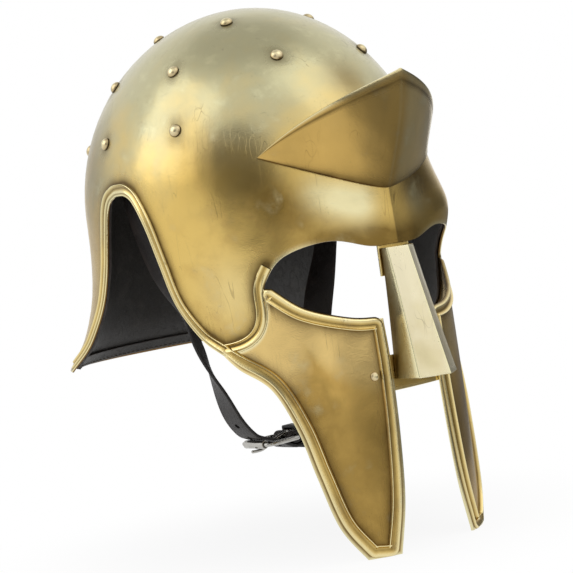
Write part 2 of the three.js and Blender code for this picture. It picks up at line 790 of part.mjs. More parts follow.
// The left strap folds round the buckle's bar and is sewn back on itself
function leftRoute() {
  const foldAngles = [100, 145, 190, 235, 275];
  const fold = foldAngles.map((a) => nearBuckle(
    buckleHalf + turnRadius * Math.cos(a * degrees), turnRadius * Math.sin(a * degrees),
  ));
  return new THREE.CatmullRomCurve3([
    ...hangPoints(1, leftHangShares),
    nearBuckle(buckleHalf * 2.7, lap * 2.6),
    nearBuckle(buckleHalf * 2.1, lap * 1.25),
    nearBuckle(buckleHalf * 1.6, lap * 0.8),
    ...fold,
    nearBuckle(buckleHalf * 1.6, -lap * 0.45),
    nearBuckle(buckleHalf * 2.05, -lap * 0.2),
    nearBuckle(buckleHalf * 2.4, lap * 0.25),
  ], false, 'centripetal');
}

// Where along a strap its twist lies and how far it spreads, as shares of the length
const strapTwistShares = { place: 0.5, spread: 0.13 };

// Twisted on the way down, and level at the top and at the buckle
function strapTurnAt(t, side) {
  return -side * strapTwistAngle * Math.exp(-(((t - strapTwistShares.place) / strapTwistShares.spread) ** 2));
}

function strapAnchorHole(side) {
  const reach = 2 * (bowlHalfWidth - strapTopX) + cutOverrun;
  const bore = rivetShankRadius + turningGap;
  const hole = new THREE.CylinderGeometry(bore, bore, reach, 12);
  return aimed(hole, loopPoint(side * strapTopX, strapTopHeight), new THREE.Vector3(1, 0, 0));
}

const rightSteps = 60;
const leftSteps = 76;

// Places of the spare holes along the right strap
const spareHoleShares = [0.68, 0.6, 0.52];

function strapRightGeometry() {
  const frames = strapFrames(rightRoute(), rightSteps, (t) => strapTurnAt(t, -1));
  const slot = new THREE.BoxGeometry(prongHoleLength, prongHoleWidth, strapThickness + 2 * cutOverrun);
  const prongHole = slot.translate(buckleHalf * 0.15, strapBack, buckleHeight);
  const spares = spareHoleShares.map((share) => {
    const { p, normal } = frames[Math.round(share * rightSteps)];
    const reach = strapThickness + cutOverrun;
    return aimed(new THREE.CylinderGeometry(strapHoleRadius, strapHoleRadius, reach, 10), p, normal);
  });
  return cut(strapSolid(frames, strapWidth, strapThickness), [strapAnchorHole(-1), prongHole, ...spares]);
}

function strapLeftGeometry() {
  const frames = strapFrames(leftRoute(), leftSteps, (t) => strapTurnAt(t, 1));
  const reach = turnRadius + strapThickness;
  const slot = new THREE.BoxGeometry(2.3 * reach, prongSlot, 3 * reach);
  slot.translate(buckleHalf + reach * 0.15, strapBack, buckleHeight);
  return cut(strapSolid(frames, strapWidth, strapThickness), [strapAnchorHole(1), slot]);
}

// Rivet that pins a strap to the headband and the lining, lying along X
function strapRivetGeometry(side) {
  const inside = strapTopX - strapThickness / 2 - gap;
  const outside = wallAt(strapBack, strapTopHeight, hemInset - liningThickness / 2).x;
  const rivet = studGeometry(studHeadRadius, rivetHeadHeight, rivetShankRadius, outside - inside);
  return aimed(rivet, loopPoint(side * inside, strapTopHeight), new THREE.Vector3(-side, 0, 0));
}

function spacerGeometry(side) {
  const bore = rivetShankRadius + turningGap;
  const [inner, outer, high] = [bore, spacerRadius, spacerThickness];
  const profile = [[inner, 0], [outer, 0], [outer, high], [inner, high], [inner, 0]];
  const ring = new THREE.LatheGeometry(profile.map(([r, y]) => new THREE.Vector2(r, y)), 14);
  const start = strapTopX + strapThickness / 2 + gap;
  return aimed(ring, loopPoint(side * start, strapTopHeight), new THREE.Vector3(side, 0, 0));
}

// Rounded rectangle of round wire
function buckleFrameGeometry() {
  const halfWide = buckleInnerWidth / 2 + buckleWire;
  const centres = [[1, 1, 0], [-1, 1, 1], [-1, -1, 2], [1, -1, 3]];
  const cornerSteps = [0, 1, 2, 3];
  const turnOf = (from, step) => (from + step / (cornerSteps.length - 1)) * quarterTurn * degrees;
  const path = centres.flatMap(([sx, sy, from]) => cornerSteps.map((step) => {
    const a = turnOf(from, step);
    return new THREE.Vector3(
      sx * (buckleHalf - buckleCorner) + buckleCorner * Math.cos(a),
      strapBack + sy * (halfWide - buckleCorner) + buckleCorner * Math.sin(a), buckleHeight,
    );
  }));
  const up = new THREE.Vector3(0, 0, 1);
  const rings = path.map((p, k) => {
    const corner = centres[Math.floor(k / cornerSteps.length)];
    const a = turnOf(corner[2], k % cornerSteps.length);
    const out = new THREE.Vector3(Math.cos(a), Math.sin(a), 0);
    return wireRing(p, out, up, buckleWire, 8);
  });
  return loft(rings, true);
}

function wireRing(p, across, up, radius, sides) {
  return Array.from({ length: sides }, (_, k) => {
    const a = (k + 0.5) * 2 * Math.PI / sides;
    return p.clone().addScaledVector(across, radius * Math.cos(a)).addScaledVector(up, radius * Math.sin(a));
  });
}

function rollerGeometry() {
  const bore = buckleWire + turningGap;
  const half = rollerLength / 2;
  const profile = [[bore, -half], [rollerRadius, -half], [rollerRadius, half], [bore, half], [bore, -half]];
  const tube = new THREE.LatheGeometry(profile.map(([r, y]) => new THREE.Vector2(r, y)), 16);
  return tube.translate(-buckleHalf, strapBack, buckleHeight);
}

// Prong: an open eye round the bar, then a shaft bent down over the roller
function prongGeometry() {
  const eye = buckleWire + turningGap + prongRadius;
  const rest = rollerRadius + gap + prongRadius;
  const eyeAngles = [-150, -110, -70, -30, 10, 50, 95];
  const loop = eyeAngles.map((a) => nearBuckle(
    buckleHalf + eye * Math.cos(a * degrees), eye * Math.sin(a * degrees),
  ));
  const route = new THREE.CatmullRomCurve3([
    ...loop,
    nearBuckle(buckleHalf * 0.5, eye * 0.45), nearBuckle(-buckleHalf * 0.15, -rest * 0.42),
    nearBuckle(-buckleHalf * 0.65, -rest * 0.98), nearBuckle(-buckleHalf, -rest * 1.04),
    nearBuckle(-buckleHalf * 1.32, -rest * 0.98),
  ], false, 'centripetal');
  const frames = strapFrames(route, 36, () => 0);
  return loft(frames.map(({ p, across, normal }) => wireRing(p, across, normal, prongRadius, 6)));
}

const keeperX = buckleHalf * 1.75;

// Keeper: a flat loop round both laps of the left strap and the right strap's end
function keeperGeometry() {
  const high = lap * 1.3 + strapThickness / 2 + gap;
  const low = -(turnRadius + lap) * 0.93 - strapThickness / 2 - gap;
  const halfWide = strapWidth / 2 + gap;
  const profile = (out) => [[-1, 0], [1, 0], [1, 1], [-1, 1]].map(([sy, top]) => ({
    y: sy * (halfWide + out), z: top ? high + out : low - out,
  }));
  const [inner, outer] = [profile(0), profile(keeperThickness)];
  const rings = inner.map((i, k) => {
    const o = outer[k];
    const place = (c, end) =>
      new THREE.Vector3(keeperX + end * keeperLength / 2, strapBack + c.y, buckleHeight + c.z);
    return [place(i, -1), place(o, -1), place(o, 1), place(i, 1)];
  });
  return loft(rings, true);
}

function bridgeRivetPlace(side) {
  const height = -(bridgeTopDepth + bridgeBottomDepth) / 2;
  return { angle: side * angleAcross(bridgeRivetX(), height), level: levelOf(height) };
}

function bridgeRivetGeometry(side) {
  const { angle, level } = bridgeRivetPlace(side);
  const rivet = studGeometry(rivetHeadRadius, rivetHeadHeight, studShankRadius, 2 * brassThickness + 4 * gap);
  return aimed(rivet, insetPoint(angle, level, -gap), shellNormal(angle, level));
}

function bridgeRivetHole(side) {
  const { angle, level } = bridgeRivetPlace(side);
  const reach = 2 * (2 * brassThickness + cutOverrun);
  const hole = new THREE.CylinderGeometry(studShankRadius + gap, studShankRadius + gap, reach, 8);
  return aimed(hole, insetPoint(angle, level, brassThickness), shellNormal(angle, level));
}

function laceGeometry() {
  const steps = 40;
  const inset = tabInset + tabDrop + tabThickness + gap + laceRadius;
  const level = levelOf(tabTop - laceRadius * 3);
  const rings = Array.from({ length: steps }, (_, k) => {
    const angle = k * fullTurn / steps;
    const normal = shellNormal(angle, level);
    const along = insetPoint(angle + 1, level, inset).sub(insetPoint(angle - 1, level, inset)).normalize();
    return wireRing(insetPoint(angle, level, inset), normal, normal.clone().cross(along), laceRadius, 6);
  });
  return loft(rings, true);
}

// Finishes
const brass = new THREE.MeshStandardMaterial({ color: 0xb8954a, roughness: 0.32, metalness: 1 });
const brightBrass = new THREE.MeshStandardMaterial({ color: 0xc9a659, roughness: 0.28, metalness: 1 });
const steel = new THREE.MeshStandardMaterial({ color: 0xc8c8c6, roughness: 0.25, metalness: 1 });
const blackLeather = new THREE.MeshStandardMaterial({ color: 0x1d1b1a, roughness: 0.6, metalness: 0 });
const brownLeather = new THREE.MeshStandardMaterial({ color: 0x4a2c20, roughness: 0.65, metalness: 0 });
const strapLeather = new THREE.MeshStandardMaterial({ color: 0x2a2421, roughness: 0.55, metalness: 0 });

const helmet = new THREE.Group();

function addPiece(name, geometry, material) {
  const piece = new THREE.Mesh(geometry, material.clone());
  piece.name = name;
  helmet.add(piece);
}

function addBowl() {
  addPiece('bowl', bowlGeometry(), brass);
  addPiece('frontlet', frontletGeometry(), brass);
  studPlaces().forEach(({ angle, level }, k) => {
    const stud = studGeometry(studHeadRadius, studHeadHeight, studShankRadius, gap + brassThickness);
    const placed = aimed(stud, insetPoint(angle, level, -gap), shellNormal(angle, level));
    addPiece(`stud_${k + 1}`, placed, brightBrass);
  });
}

const sides = [[1, 'left'], [-1, 'right']];

function addFace() {
  const holes = sides.map(([side]) => bridgeRivetHole(side));
  addPiece('nasal_guard', nasalGeometry(), brightBrass);
  addPiece('nasal_tang', tangGeometry(), brass);
  addPiece('nasal_bridge', cut(bridgeGeometry(), holes), brass);
  for (const [side, word] of sides) {
    addPiece(`cheek_guard_${word}`, cut(cheekGeometry(side), [bridgeRivetHole(side)]), brass);
    addPiece(`bridge_rivet_${word}`, bridgeRivetGeometry(side), brightBrass);
  }
}

function addLiner() {
  const anchors = sides.map(([side]) => strapAnchorHole(side));
  const band = ringStrip(headbandTop, headbandBottom, bandInset, headbandThickness, 60);
  addPiece('bowl_lining', cut(liningGeometry(), anchors), blackLeather);
  addPiece('neck_hem', hemGeometry(), blackLeather);
  addPiece('headband', cut(band, anchors), brownLeather);
  tabMiddleAngles.forEach((middle, k) => addPiece(`crown_tab_${k + 1}`, tabGeometry(middle), brownLeather));
  addPiece('crown_lace', laceGeometry(), strapLeather);
}

function addChinStrap() {
  addPiece('chin_strap_right', strapRightGeometry(), strapLeather);
  addPiece('chin_strap_left', strapLeftGeometry(), strapLeather);
  addPiece('strap_keeper', keeperGeometry(), strapLeather);
  for (const [side, word] of sides) {
    addPiece(`strap_rivet_${word}`, strapRivetGeometry(side), steel);
    addPiece(`strap_spacer_${word}`, spacerGeometry(side), blackLeather);
  }
  addPiece('buckle_frame', buckleFrameGeometry(), steel);
  addPiece('buckle_roller', rollerGeometry(), steel);
  addPiece('buckle_prong', prongGeometry(), steel);
}

addBowl();
addFace();
addLiner();
addChinStrap();

export default helmet;
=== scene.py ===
"""Looks of a brass gladiator helmet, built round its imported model.

Metres. +Z is up, the face looks along -Y and +X is the wearer's left. Angles are in degrees from the front,
turning towards the wearer's left, and heights count from the level where the dome is widest.
"""

import logging
import math
from dataclasses import dataclass
from enum import Enum
from typing import Callable, Optional, Sequence, Union

import bpy
import numpy as np
from mathutils import Matrix, Vector


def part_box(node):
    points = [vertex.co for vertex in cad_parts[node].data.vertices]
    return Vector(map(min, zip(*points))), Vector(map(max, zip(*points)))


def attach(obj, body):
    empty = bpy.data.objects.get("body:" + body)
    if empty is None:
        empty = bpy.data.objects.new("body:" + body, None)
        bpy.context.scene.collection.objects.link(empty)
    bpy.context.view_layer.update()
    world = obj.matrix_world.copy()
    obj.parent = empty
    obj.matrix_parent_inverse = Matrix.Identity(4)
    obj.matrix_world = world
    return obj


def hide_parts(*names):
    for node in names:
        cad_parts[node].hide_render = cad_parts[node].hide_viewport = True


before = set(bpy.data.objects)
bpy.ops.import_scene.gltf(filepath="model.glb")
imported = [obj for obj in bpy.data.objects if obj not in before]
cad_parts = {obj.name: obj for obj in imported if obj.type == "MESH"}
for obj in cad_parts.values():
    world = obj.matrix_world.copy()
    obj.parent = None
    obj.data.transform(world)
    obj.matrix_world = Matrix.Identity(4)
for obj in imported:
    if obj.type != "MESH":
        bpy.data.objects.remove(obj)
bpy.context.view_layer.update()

LOG = logging.getLogger("helmet")
DEGREE = math.pi / 180
WHITE = (1.0, 1.0, 1.0)
EDGE, SOFT_EDGE, FINE_EDGE = 0.0004, 0.0005, 0.0002
SEAT_LIFT = 0.0001
EDGE_WEAR = 0.0017
MERGE_REACH = 2e-6
CHUNK = 4000
ROUND_SIDES = 40

Array = np.ndarray
Amount = Union[float, Array]
Pair = tuple[float, float]
Triple = tuple[float, float, float]
Patch = tuple[float, float, float, float]


class Side(Enum):
    """The wearer's two sides, as the sign of X."""

    LEFT = 1
    RIGHT = -1

    @property
    def word(self) -> str:
        """Its word in the names of pieces."""
        return self.name.lower()


class Body(Enum):
    """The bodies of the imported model."""

    HELMET = "helmet"
    CHIN_STRAP = "chin_strap"
    BUCKLE = "buckle"
    PRONG = "prong"
    ROLLER = "roller"


class Slot(Enum):
    """Material slots."""

    BRASS = "brass"
    BRIGHT_BRASS = "bright_brass"
    STEEL = "steel"
    BLACK_LEATHER = "black_leather"
    BROWN_LEATHER = "brown_leather"
    STRAP_LEATHER = "strap_leather"


def unit(vectors: Array) -> Array:
    """Unit vectors along the last axis."""
    return vectors / np.maximum(np.linalg.norm(vectors, axis=-1, keepdims=True), 1e-12)


def smooth_step(values: Array) -> Array:
    """Smooth rise from 0 to 1 over the range 0 to 1."""
    t = np.clip(values, 0, 1)
    return t * t * (3 - 2 * t)


def lerp(a: float, b: float, t: Amount) -> Amount:
    """Value a share t of the way from a to b."""
    return a + (b - a) * t


def falloff(distance: Array, reach: float) -> Array:
    """1 at no distance, falling off over a reach."""
    return np.exp(-((distance / reach) ** 2))


def travelled(points: Array) -> Array:
    """Distance covered along a line at each of its points."""
    return np.concatenate([[0], np.cumsum(np.linalg.norm(np.diff(points, axis=0), axis=1))])


def rim_of(table: Array) -> Array:
    """Points round the edge of a table of points."""
    return np.concatenate([table[0], table[-1], table[:, 0], table[:, -1]])


# Curves and the helmet's form


@dataclass(frozen=True)
class Stations:
    """A smooth value between listed places, level at the first and straight on past the last."""

    places: tuple[float, ...]
    values: tuple[float, ...]

    def at(self, place: Array) -> Array:
        """Value at each place.

        Args:
            place: the places asked for.

        Returns:
            The values there.
        """
        p, v = np.array(self.places), np.array(self.values)
        ahead = np.minimum(np.arange(len(p)) + 1, len(p) - 1)
        behind = np.maximum(np.arange(len(p)) - 1, 0)
        slopes = np.where(np.arange(len(p)) > 0, (v[ahead] - v[behind]) / (p[ahead] - p[behind]), 0.0)
        x = np.asarray(place, float)
        k = np.clip(np.searchsorted(p, x, side="left") - 1, 0, len(p) - 2)
        span = p[k + 1] - p[k]
        t = np.clip((x - p[k]) / span, 0, 1)
        before = v[k] * (1 + 2 * t) * (1 - t) ** 2 + slopes[k] * span * t * (1 - t) ** 2
        after = v[k + 1] * t * t * (3 - 2 * t) + slopes[k + 1] * span * t * t * (t - 1)
        return before + after + slopes[-1] * np.maximum(x - p[-1], 0)


@dataclass(frozen=True)
class Line:
    """A smooth flat line through points of angle and height."""

    points: tuple[Pair, ...]

    def at(self, t: Amount) -> Array:
        """Points of the line.

        Args:
            t: shares of the way along the listed points, from 0 to 1.

        Returns:
            An array of angle and height, one row for each share.
        """
        p = np.array(self.points, float)
        last = len(p) - 1
        place = np.atleast_1d(np.asarray(t, float)) * last
        k = np.minimum(np.floor(place).astype(int), last)
        w = (place - k)[:, None]
        p0, p1 = p[np.maximum(k - 1, 0)], p[k]
        p2, p3 = p[np.minimum(k + 1, last)], p[np.minimum(k + 2, last)]
        v0, v1 = (p2 - p0) / 2, (p3 - p1) / 2
        cubic = (2 * p1 - 2 * p2 + v0 + v1) * w**3 + (-3 * p1 + 3 * p2 - 2 * v0 - v1) * w**2
        return cubic + v0 * w + p1

    def run(self, count: int) -> Array:
        """Points at even shares, count spans of them."""
        return self.at(np.linspace(0, 1, count + 1))


@dataclass(frozen=True)
class Shell:
    """The form that the bowl, the cheek guards and every layer inside them follow."""

    half_width: float = 0.105
    front_reach: float = 0.1225
    rear_reach: float = 0.133
    height: float = 0.125
    neck_depth: float = 0.098
    cheek_depth: float = 0.226
    swell: float = 0.009
    swell_angle: float = 38.0
    swell_spread: float = 17.0
    swell_depth: float = 0.020
    swell_reach: float = 0.022
    level_step: float = 0.002
    angle_step: float = 0.1
    crown_level: float = 0.001
    face_width: Stations = Stations((0, 0.17, 0.4, 1), (1, 0.965, 0.88, 0.86))
    face_reach: Stations = Stations((0, 0.17, 0.4, 1), (1, 1.012, 1.035, 1.055))
    face_square: Stations = Stations((0, 0.17, 0.4, 1), (2, 2.1, 2.4, 2.5))
    nape_width: Stations = Stations((0, 0.5, 0.8, 1), (1, 1.02, 1.065, 1.11))
    nape_reach: Stations = Stations((0, 0.5, 0.8, 1), (1, 1, 1, 1.06))
    nape_square: Stations = Stations((0, 0.5, 0.8, 1), (2, 2.1, 2.5, 3))

    def section(self, height: Amount, front: Union[bool, Array]) -> tuple[Array, Array, Array]:
        """Half width, reach and squareness of level sections.

        Args:
            height: heights of the sections.
            front: whether each is asked for in front, and not behind.

        Returns:
            Three arrays of the heights' shape.
        """
        reach = np.where(front, self.front_reach, self.rear_reach)
        shrink = np.sqrt(np.maximum(0, 1 - (height / self.height) ** 2))
        share = -height / np.where(front, self.cheek_depth, self.neck_depth)
        wide = np.where(front, self.face_width.at(share), self.nape_width.at(share))
        deep = np.where(front, self.face_reach.at(share), self.nape_reach.at(share))
        square = np.where(front, self.face_square.at(share), self.nape_square.at(share))
        above = height >= 0
        return (
            self.half_width * np.where(above, shrink, wide),
            reach * np.where(above, shrink, deep),
            np.where(above, 2.0, square),
        )

    def point(self, angle: Amount, height: Amount) -> Array:
        """Points of the outer surface, at angles and heights."""
        angle, height = np.broadcast_arrays(np.asarray(angle, float), np.asarray(height, float))
        c, s = np.cos(angle * DEGREE), np.sin(angle * DEGREE)
        half, reach, square = self.section(height, c > 0)
        power = 2 / square
        across = (np.abs(angle) - self.swell_angle) / self.swell_spread
        along = (height + self.swell_depth) / self.swell_reach
        swell = self.swell * np.exp(-across * across - along * along)
        x = half * np.sign(s) * np.abs(s) ** power + s * swell
        y = -reach * np.sign(c) * np.abs(c) ** power - c * swell
        return np.stack([x, y, height], axis=-1)

    def height_of(self, level: Amount) -> Array:
        """Height of a level, which is 0 at the crown and 1 where the dome is widest."""
        turn = np.cos(level * math.pi / 2)
        return np.where(level < 1, self.height * turn, -(level - 1) * self.height * math.pi / 2)

    def level_of(self, height: Amount) -> Array:
        """Level of a height."""
        h = np.asarray(height, float)
        up = np.arccos(np.clip(h / self.height, -1, 1)) / (math.pi / 2)
        return np.where(h > 0, up, 1 - h / (self.height * math.pi / 2))

    def normal(self, angle: Amount, level: Amount) -> Array:
        """Outward normals."""
        nudge, turn = self.level_step, self.angle_step
        above, height, below = (self.height_of(level + step) for step in (-nudge, 0, nudge))
        down = self.point(angle, below) - self.point(angle, above)
        aside = self.point(angle + turn, height) - self.point(angle - turn, height)
        return unit(np.cross(down, aside))

    def inset(self, angle: Amount, level: Amount, depth: float) -> Array:
        """Points a depth under the outer surface.

        Args:
            angle: angles from the front.
            level: levels counted from the crown.
            depth: depth along the normal, negative outside.

        Returns:
            An array of points.
        """
        angle, level = np.broadcast_arrays(np.asarray(angle, float), np.asarray(level, float))
        under = self.point(angle, self.height_of(level)) - depth * self.normal(angle, level)
        crown = np.array([0, 0, self.height - depth])
        return np.where((level < self.crown_level)[..., None], crown, under)

    def angle_of(self, y: Amount, height: Amount) -> Array:
        """Angles of the surface's points with a given Y at a height."""
        _, reach, square = self.section(np.asarray(height, float), np.asarray(y) < 0)
        c = np.sign(-y) * np.abs(y / reach) ** (square / 2)
        return np.arccos(np.clip(c, -1, 1)) / DEGREE

    def angle_across(self, x: float, height: float) -> float:
        """Angle at which the face is a distance from the middle."""
        half, _, square = self.section(height, True)
        return float(np.arcsin((x / half) ** (square / 2)) / DEGREE)


@dataclass(frozen=True)
class Layers:
    """Thicknesses of the sheet and of the leather, and how deep each layer starts under the outer surface."""

    brass: float = 0.0015
    lining: float = 0.0016
    headband: float = 0.002
    tab: float = 0.0016
    hem: float = 0.0014
    gap: float = 0.0003
    lining_gap: float = 0.0005
    band_gap: float = 0.0015

    @property
    def lining_inset(self) -> float:
        """Depth of the lining's outer face."""
        return self.brass + self.lining_gap

    @property
    def hem_inset(self) -> float:
        """Depth of the hem's outer face."""
        return self.lining_inset + self.lining + self.lining_gap

    @property
    def band_inset(self) -> float:
        """Depth of the headband's outer face."""
        return self.lining_inset + self.lining + self.band_gap

    @property
    def tab_inset(self) -> float:
        """Depth of the crown tabs' outer faces at their lower ends."""
        return self.band_inset + self.headband + self.lining_gap


@dataclass(frozen=True)
class Outlines:
    """Edges of the bowl and of the cheek guards, as angle and height on the wearer's left."""

    shell: Shell
    eye_line: float = 0.039
    eye_corner: Pair = (50.0, -0.055)
    lid_rise: float = 0.007
    eye_height: float = 0.044
    apex_back: float = 0.012
    apex_height: float = 0.013
    front_run: float = 0.074
    rear_run: float = 0.083
    temple: Pair = (71.0, -0.093)
    seam_gap: float = 0.00012
    seam_gap_angle: float = 0.1
    edge_spans: tuple[int, int, int, int] = (35, 16, 132, 44)

    def upper_lid(self) -> Line:
        """Upper edge of the eye opening, from the middle to its outer corner."""
        shares = ((0, 0), (0.2, 0.05), (0.5, 1), (0.82, 0.15))
        points = tuple((a * self.eye_corner[0], -self.eye_line + r * self.lid_rise) for a, r in shares)
        return Line(points + (self.eye_corner,))

    def seam(self, t: Union[Array, Sequence[float]], angle: float = 0, drop: float = 0) -> Array:
        """Points of the seam from the eye's outer corner to the temple's tip.

        Args:
            t: shares of the way along it.
            angle: shift towards the front, in degrees.
            drop: shift downwards.

        Returns:
            An array of angle and height.
        """
        start = np.array([self.eye_corner[0] - angle, self.eye_corner[1] - drop])
        end = np.array([self.temple[0] - angle, self.temple[1] - drop])
        middle = np.array([start[0], end[1]])
        t = np.atleast_1d(np.asarray(t, float))[:, None]
        return (1 - t) ** 2 * start + 2 * t * (1 - t) * middle + t * t * end

    def ear_arch(self) -> Line:
        """Ear arch from the temple's tip over its apex to the neck guard's corner."""
        front = (
            (0, 0), (0.09, 0.008), (0.18, 0.05), (0.26, 0.14), (0.325, 0.26), (0.385, 0.46), (0.46, 0.71),
            (0.64, 0.9))
        rear = ((0.09, 0.008), (0.19, 0.06), (0.29, 0.25), (0.38, 0.47), (0.53, 0.7), (0.75, 0.89), (1, 1))
        back, high = self.apex_back, self.apex_height
        front_drop, rear_drop = high - self.temple[1], high + self.shell.neck_depth
        places = [(back - r * self.front_run, high - d * front_drop) for r, d in front[::-1]]
        places += [(back + r * self.rear_run, high - d * rear_drop) for r, d in rear]
        return Line((self.temple,) + tuple((float(self.shell.angle_of(y, h)), h) for y, h in places))

    def bowl_edge(self) -> Array:
        """Lower edge of the bowl, once round from the front."""
        lid_spans, seam_spans, arch_spans, neck_spans = self.edge_spans
        arch = self.ear_arch().run(arch_spans)
        neck = Line((tuple(arch[-1]), (180.0, -self.shell.neck_depth))).run(neck_spans)
        seam = self.seam(np.linspace(0, 1, seam_spans + 1))
        half = np.concatenate([self.upper_lid().run(lid_spans), seam[1:], arch[1:], neck[1:]])
        other = half[1:-1][::-1] * [-1, 1] + [360, 0]
        return np.concatenate([half, other])

    def cheek_place(self, u: Amount, v: Amount) -> Array:
        """Places on the left cheek guard.

        Args:
            u: shares from its front edge to its rear edge.
            v: shares from the eye down to the tip.

        Returns:
            An array of angle and height.
        """
        top_height = -(self.eye_line + self.eye_height)
        front_shares = ((9.5, 0), (8.8, 0.22), (9.3, 0.5), (11.2, 0.78), (15.5, 1))
        rear_shares = (
            (1, 0), (0.93, 0.075), (0.785, 0.18), (0.685, 0.38), (0.621, 0.6), (0.54, 0.84), (0.414, 1))
        corner, end = self.seam([0, 1], self.seam_gap_angle, self.seam_gap)
        lid = Line((
            (front_shares[0][0], top_height),
            (self.eye_corner[0] * 0.45, top_height + self.lid_rise * 0.3),
            (self.eye_corner[0] * 0.8, top_height + self.eye_height * 0.28),
            tuple(corner),
        ))
        drop = self.shell.cheek_depth + top_height
        front = Line(tuple((a, top_height - share * drop) for a, share in front_shares))
        fall = self.shell.cheek_depth + end[1]
        rear = Line(tuple((end[0] * turn, end[1] - share * fall) for turn, share in rear_shares))
        u, v = np.broadcast_arrays(np.asarray(u, float), np.asarray(v, float))
        shape = u.shape
        u, v = u.reshape(-1), v.reshape(-1)
        turn = 2 / 3
        seam = self.seam((u - turn) / (1 - turn), self.seam_gap_angle, self.seam_gap)
        top = np.where((u < turn)[:, None], lid.at(np.minimum(u / turn, 1)), seam)
        tip_front, tip_rear = front.at(1)[0], rear.at(1)[0]
        sides = (1 - u)[:, None] * front.at(v) + u[:, None] * rear.at(v)
        u, v = u[:, None], v[:, None]
        edges = (1 - v) * top + v * lerp(tip_front, tip_rear, u) + sides
        corners = (1 - v) * lerp(lid.at(0)[0], end, u) + v * lerp(tip_front, tip_rear, u)
        return (edges - corners).reshape(shape + (2,))


SHELL = Shell()
LAYERS = Layers()
OUTLINES = Outlines(SHELL)


# Workpieces, shaped as on a bench


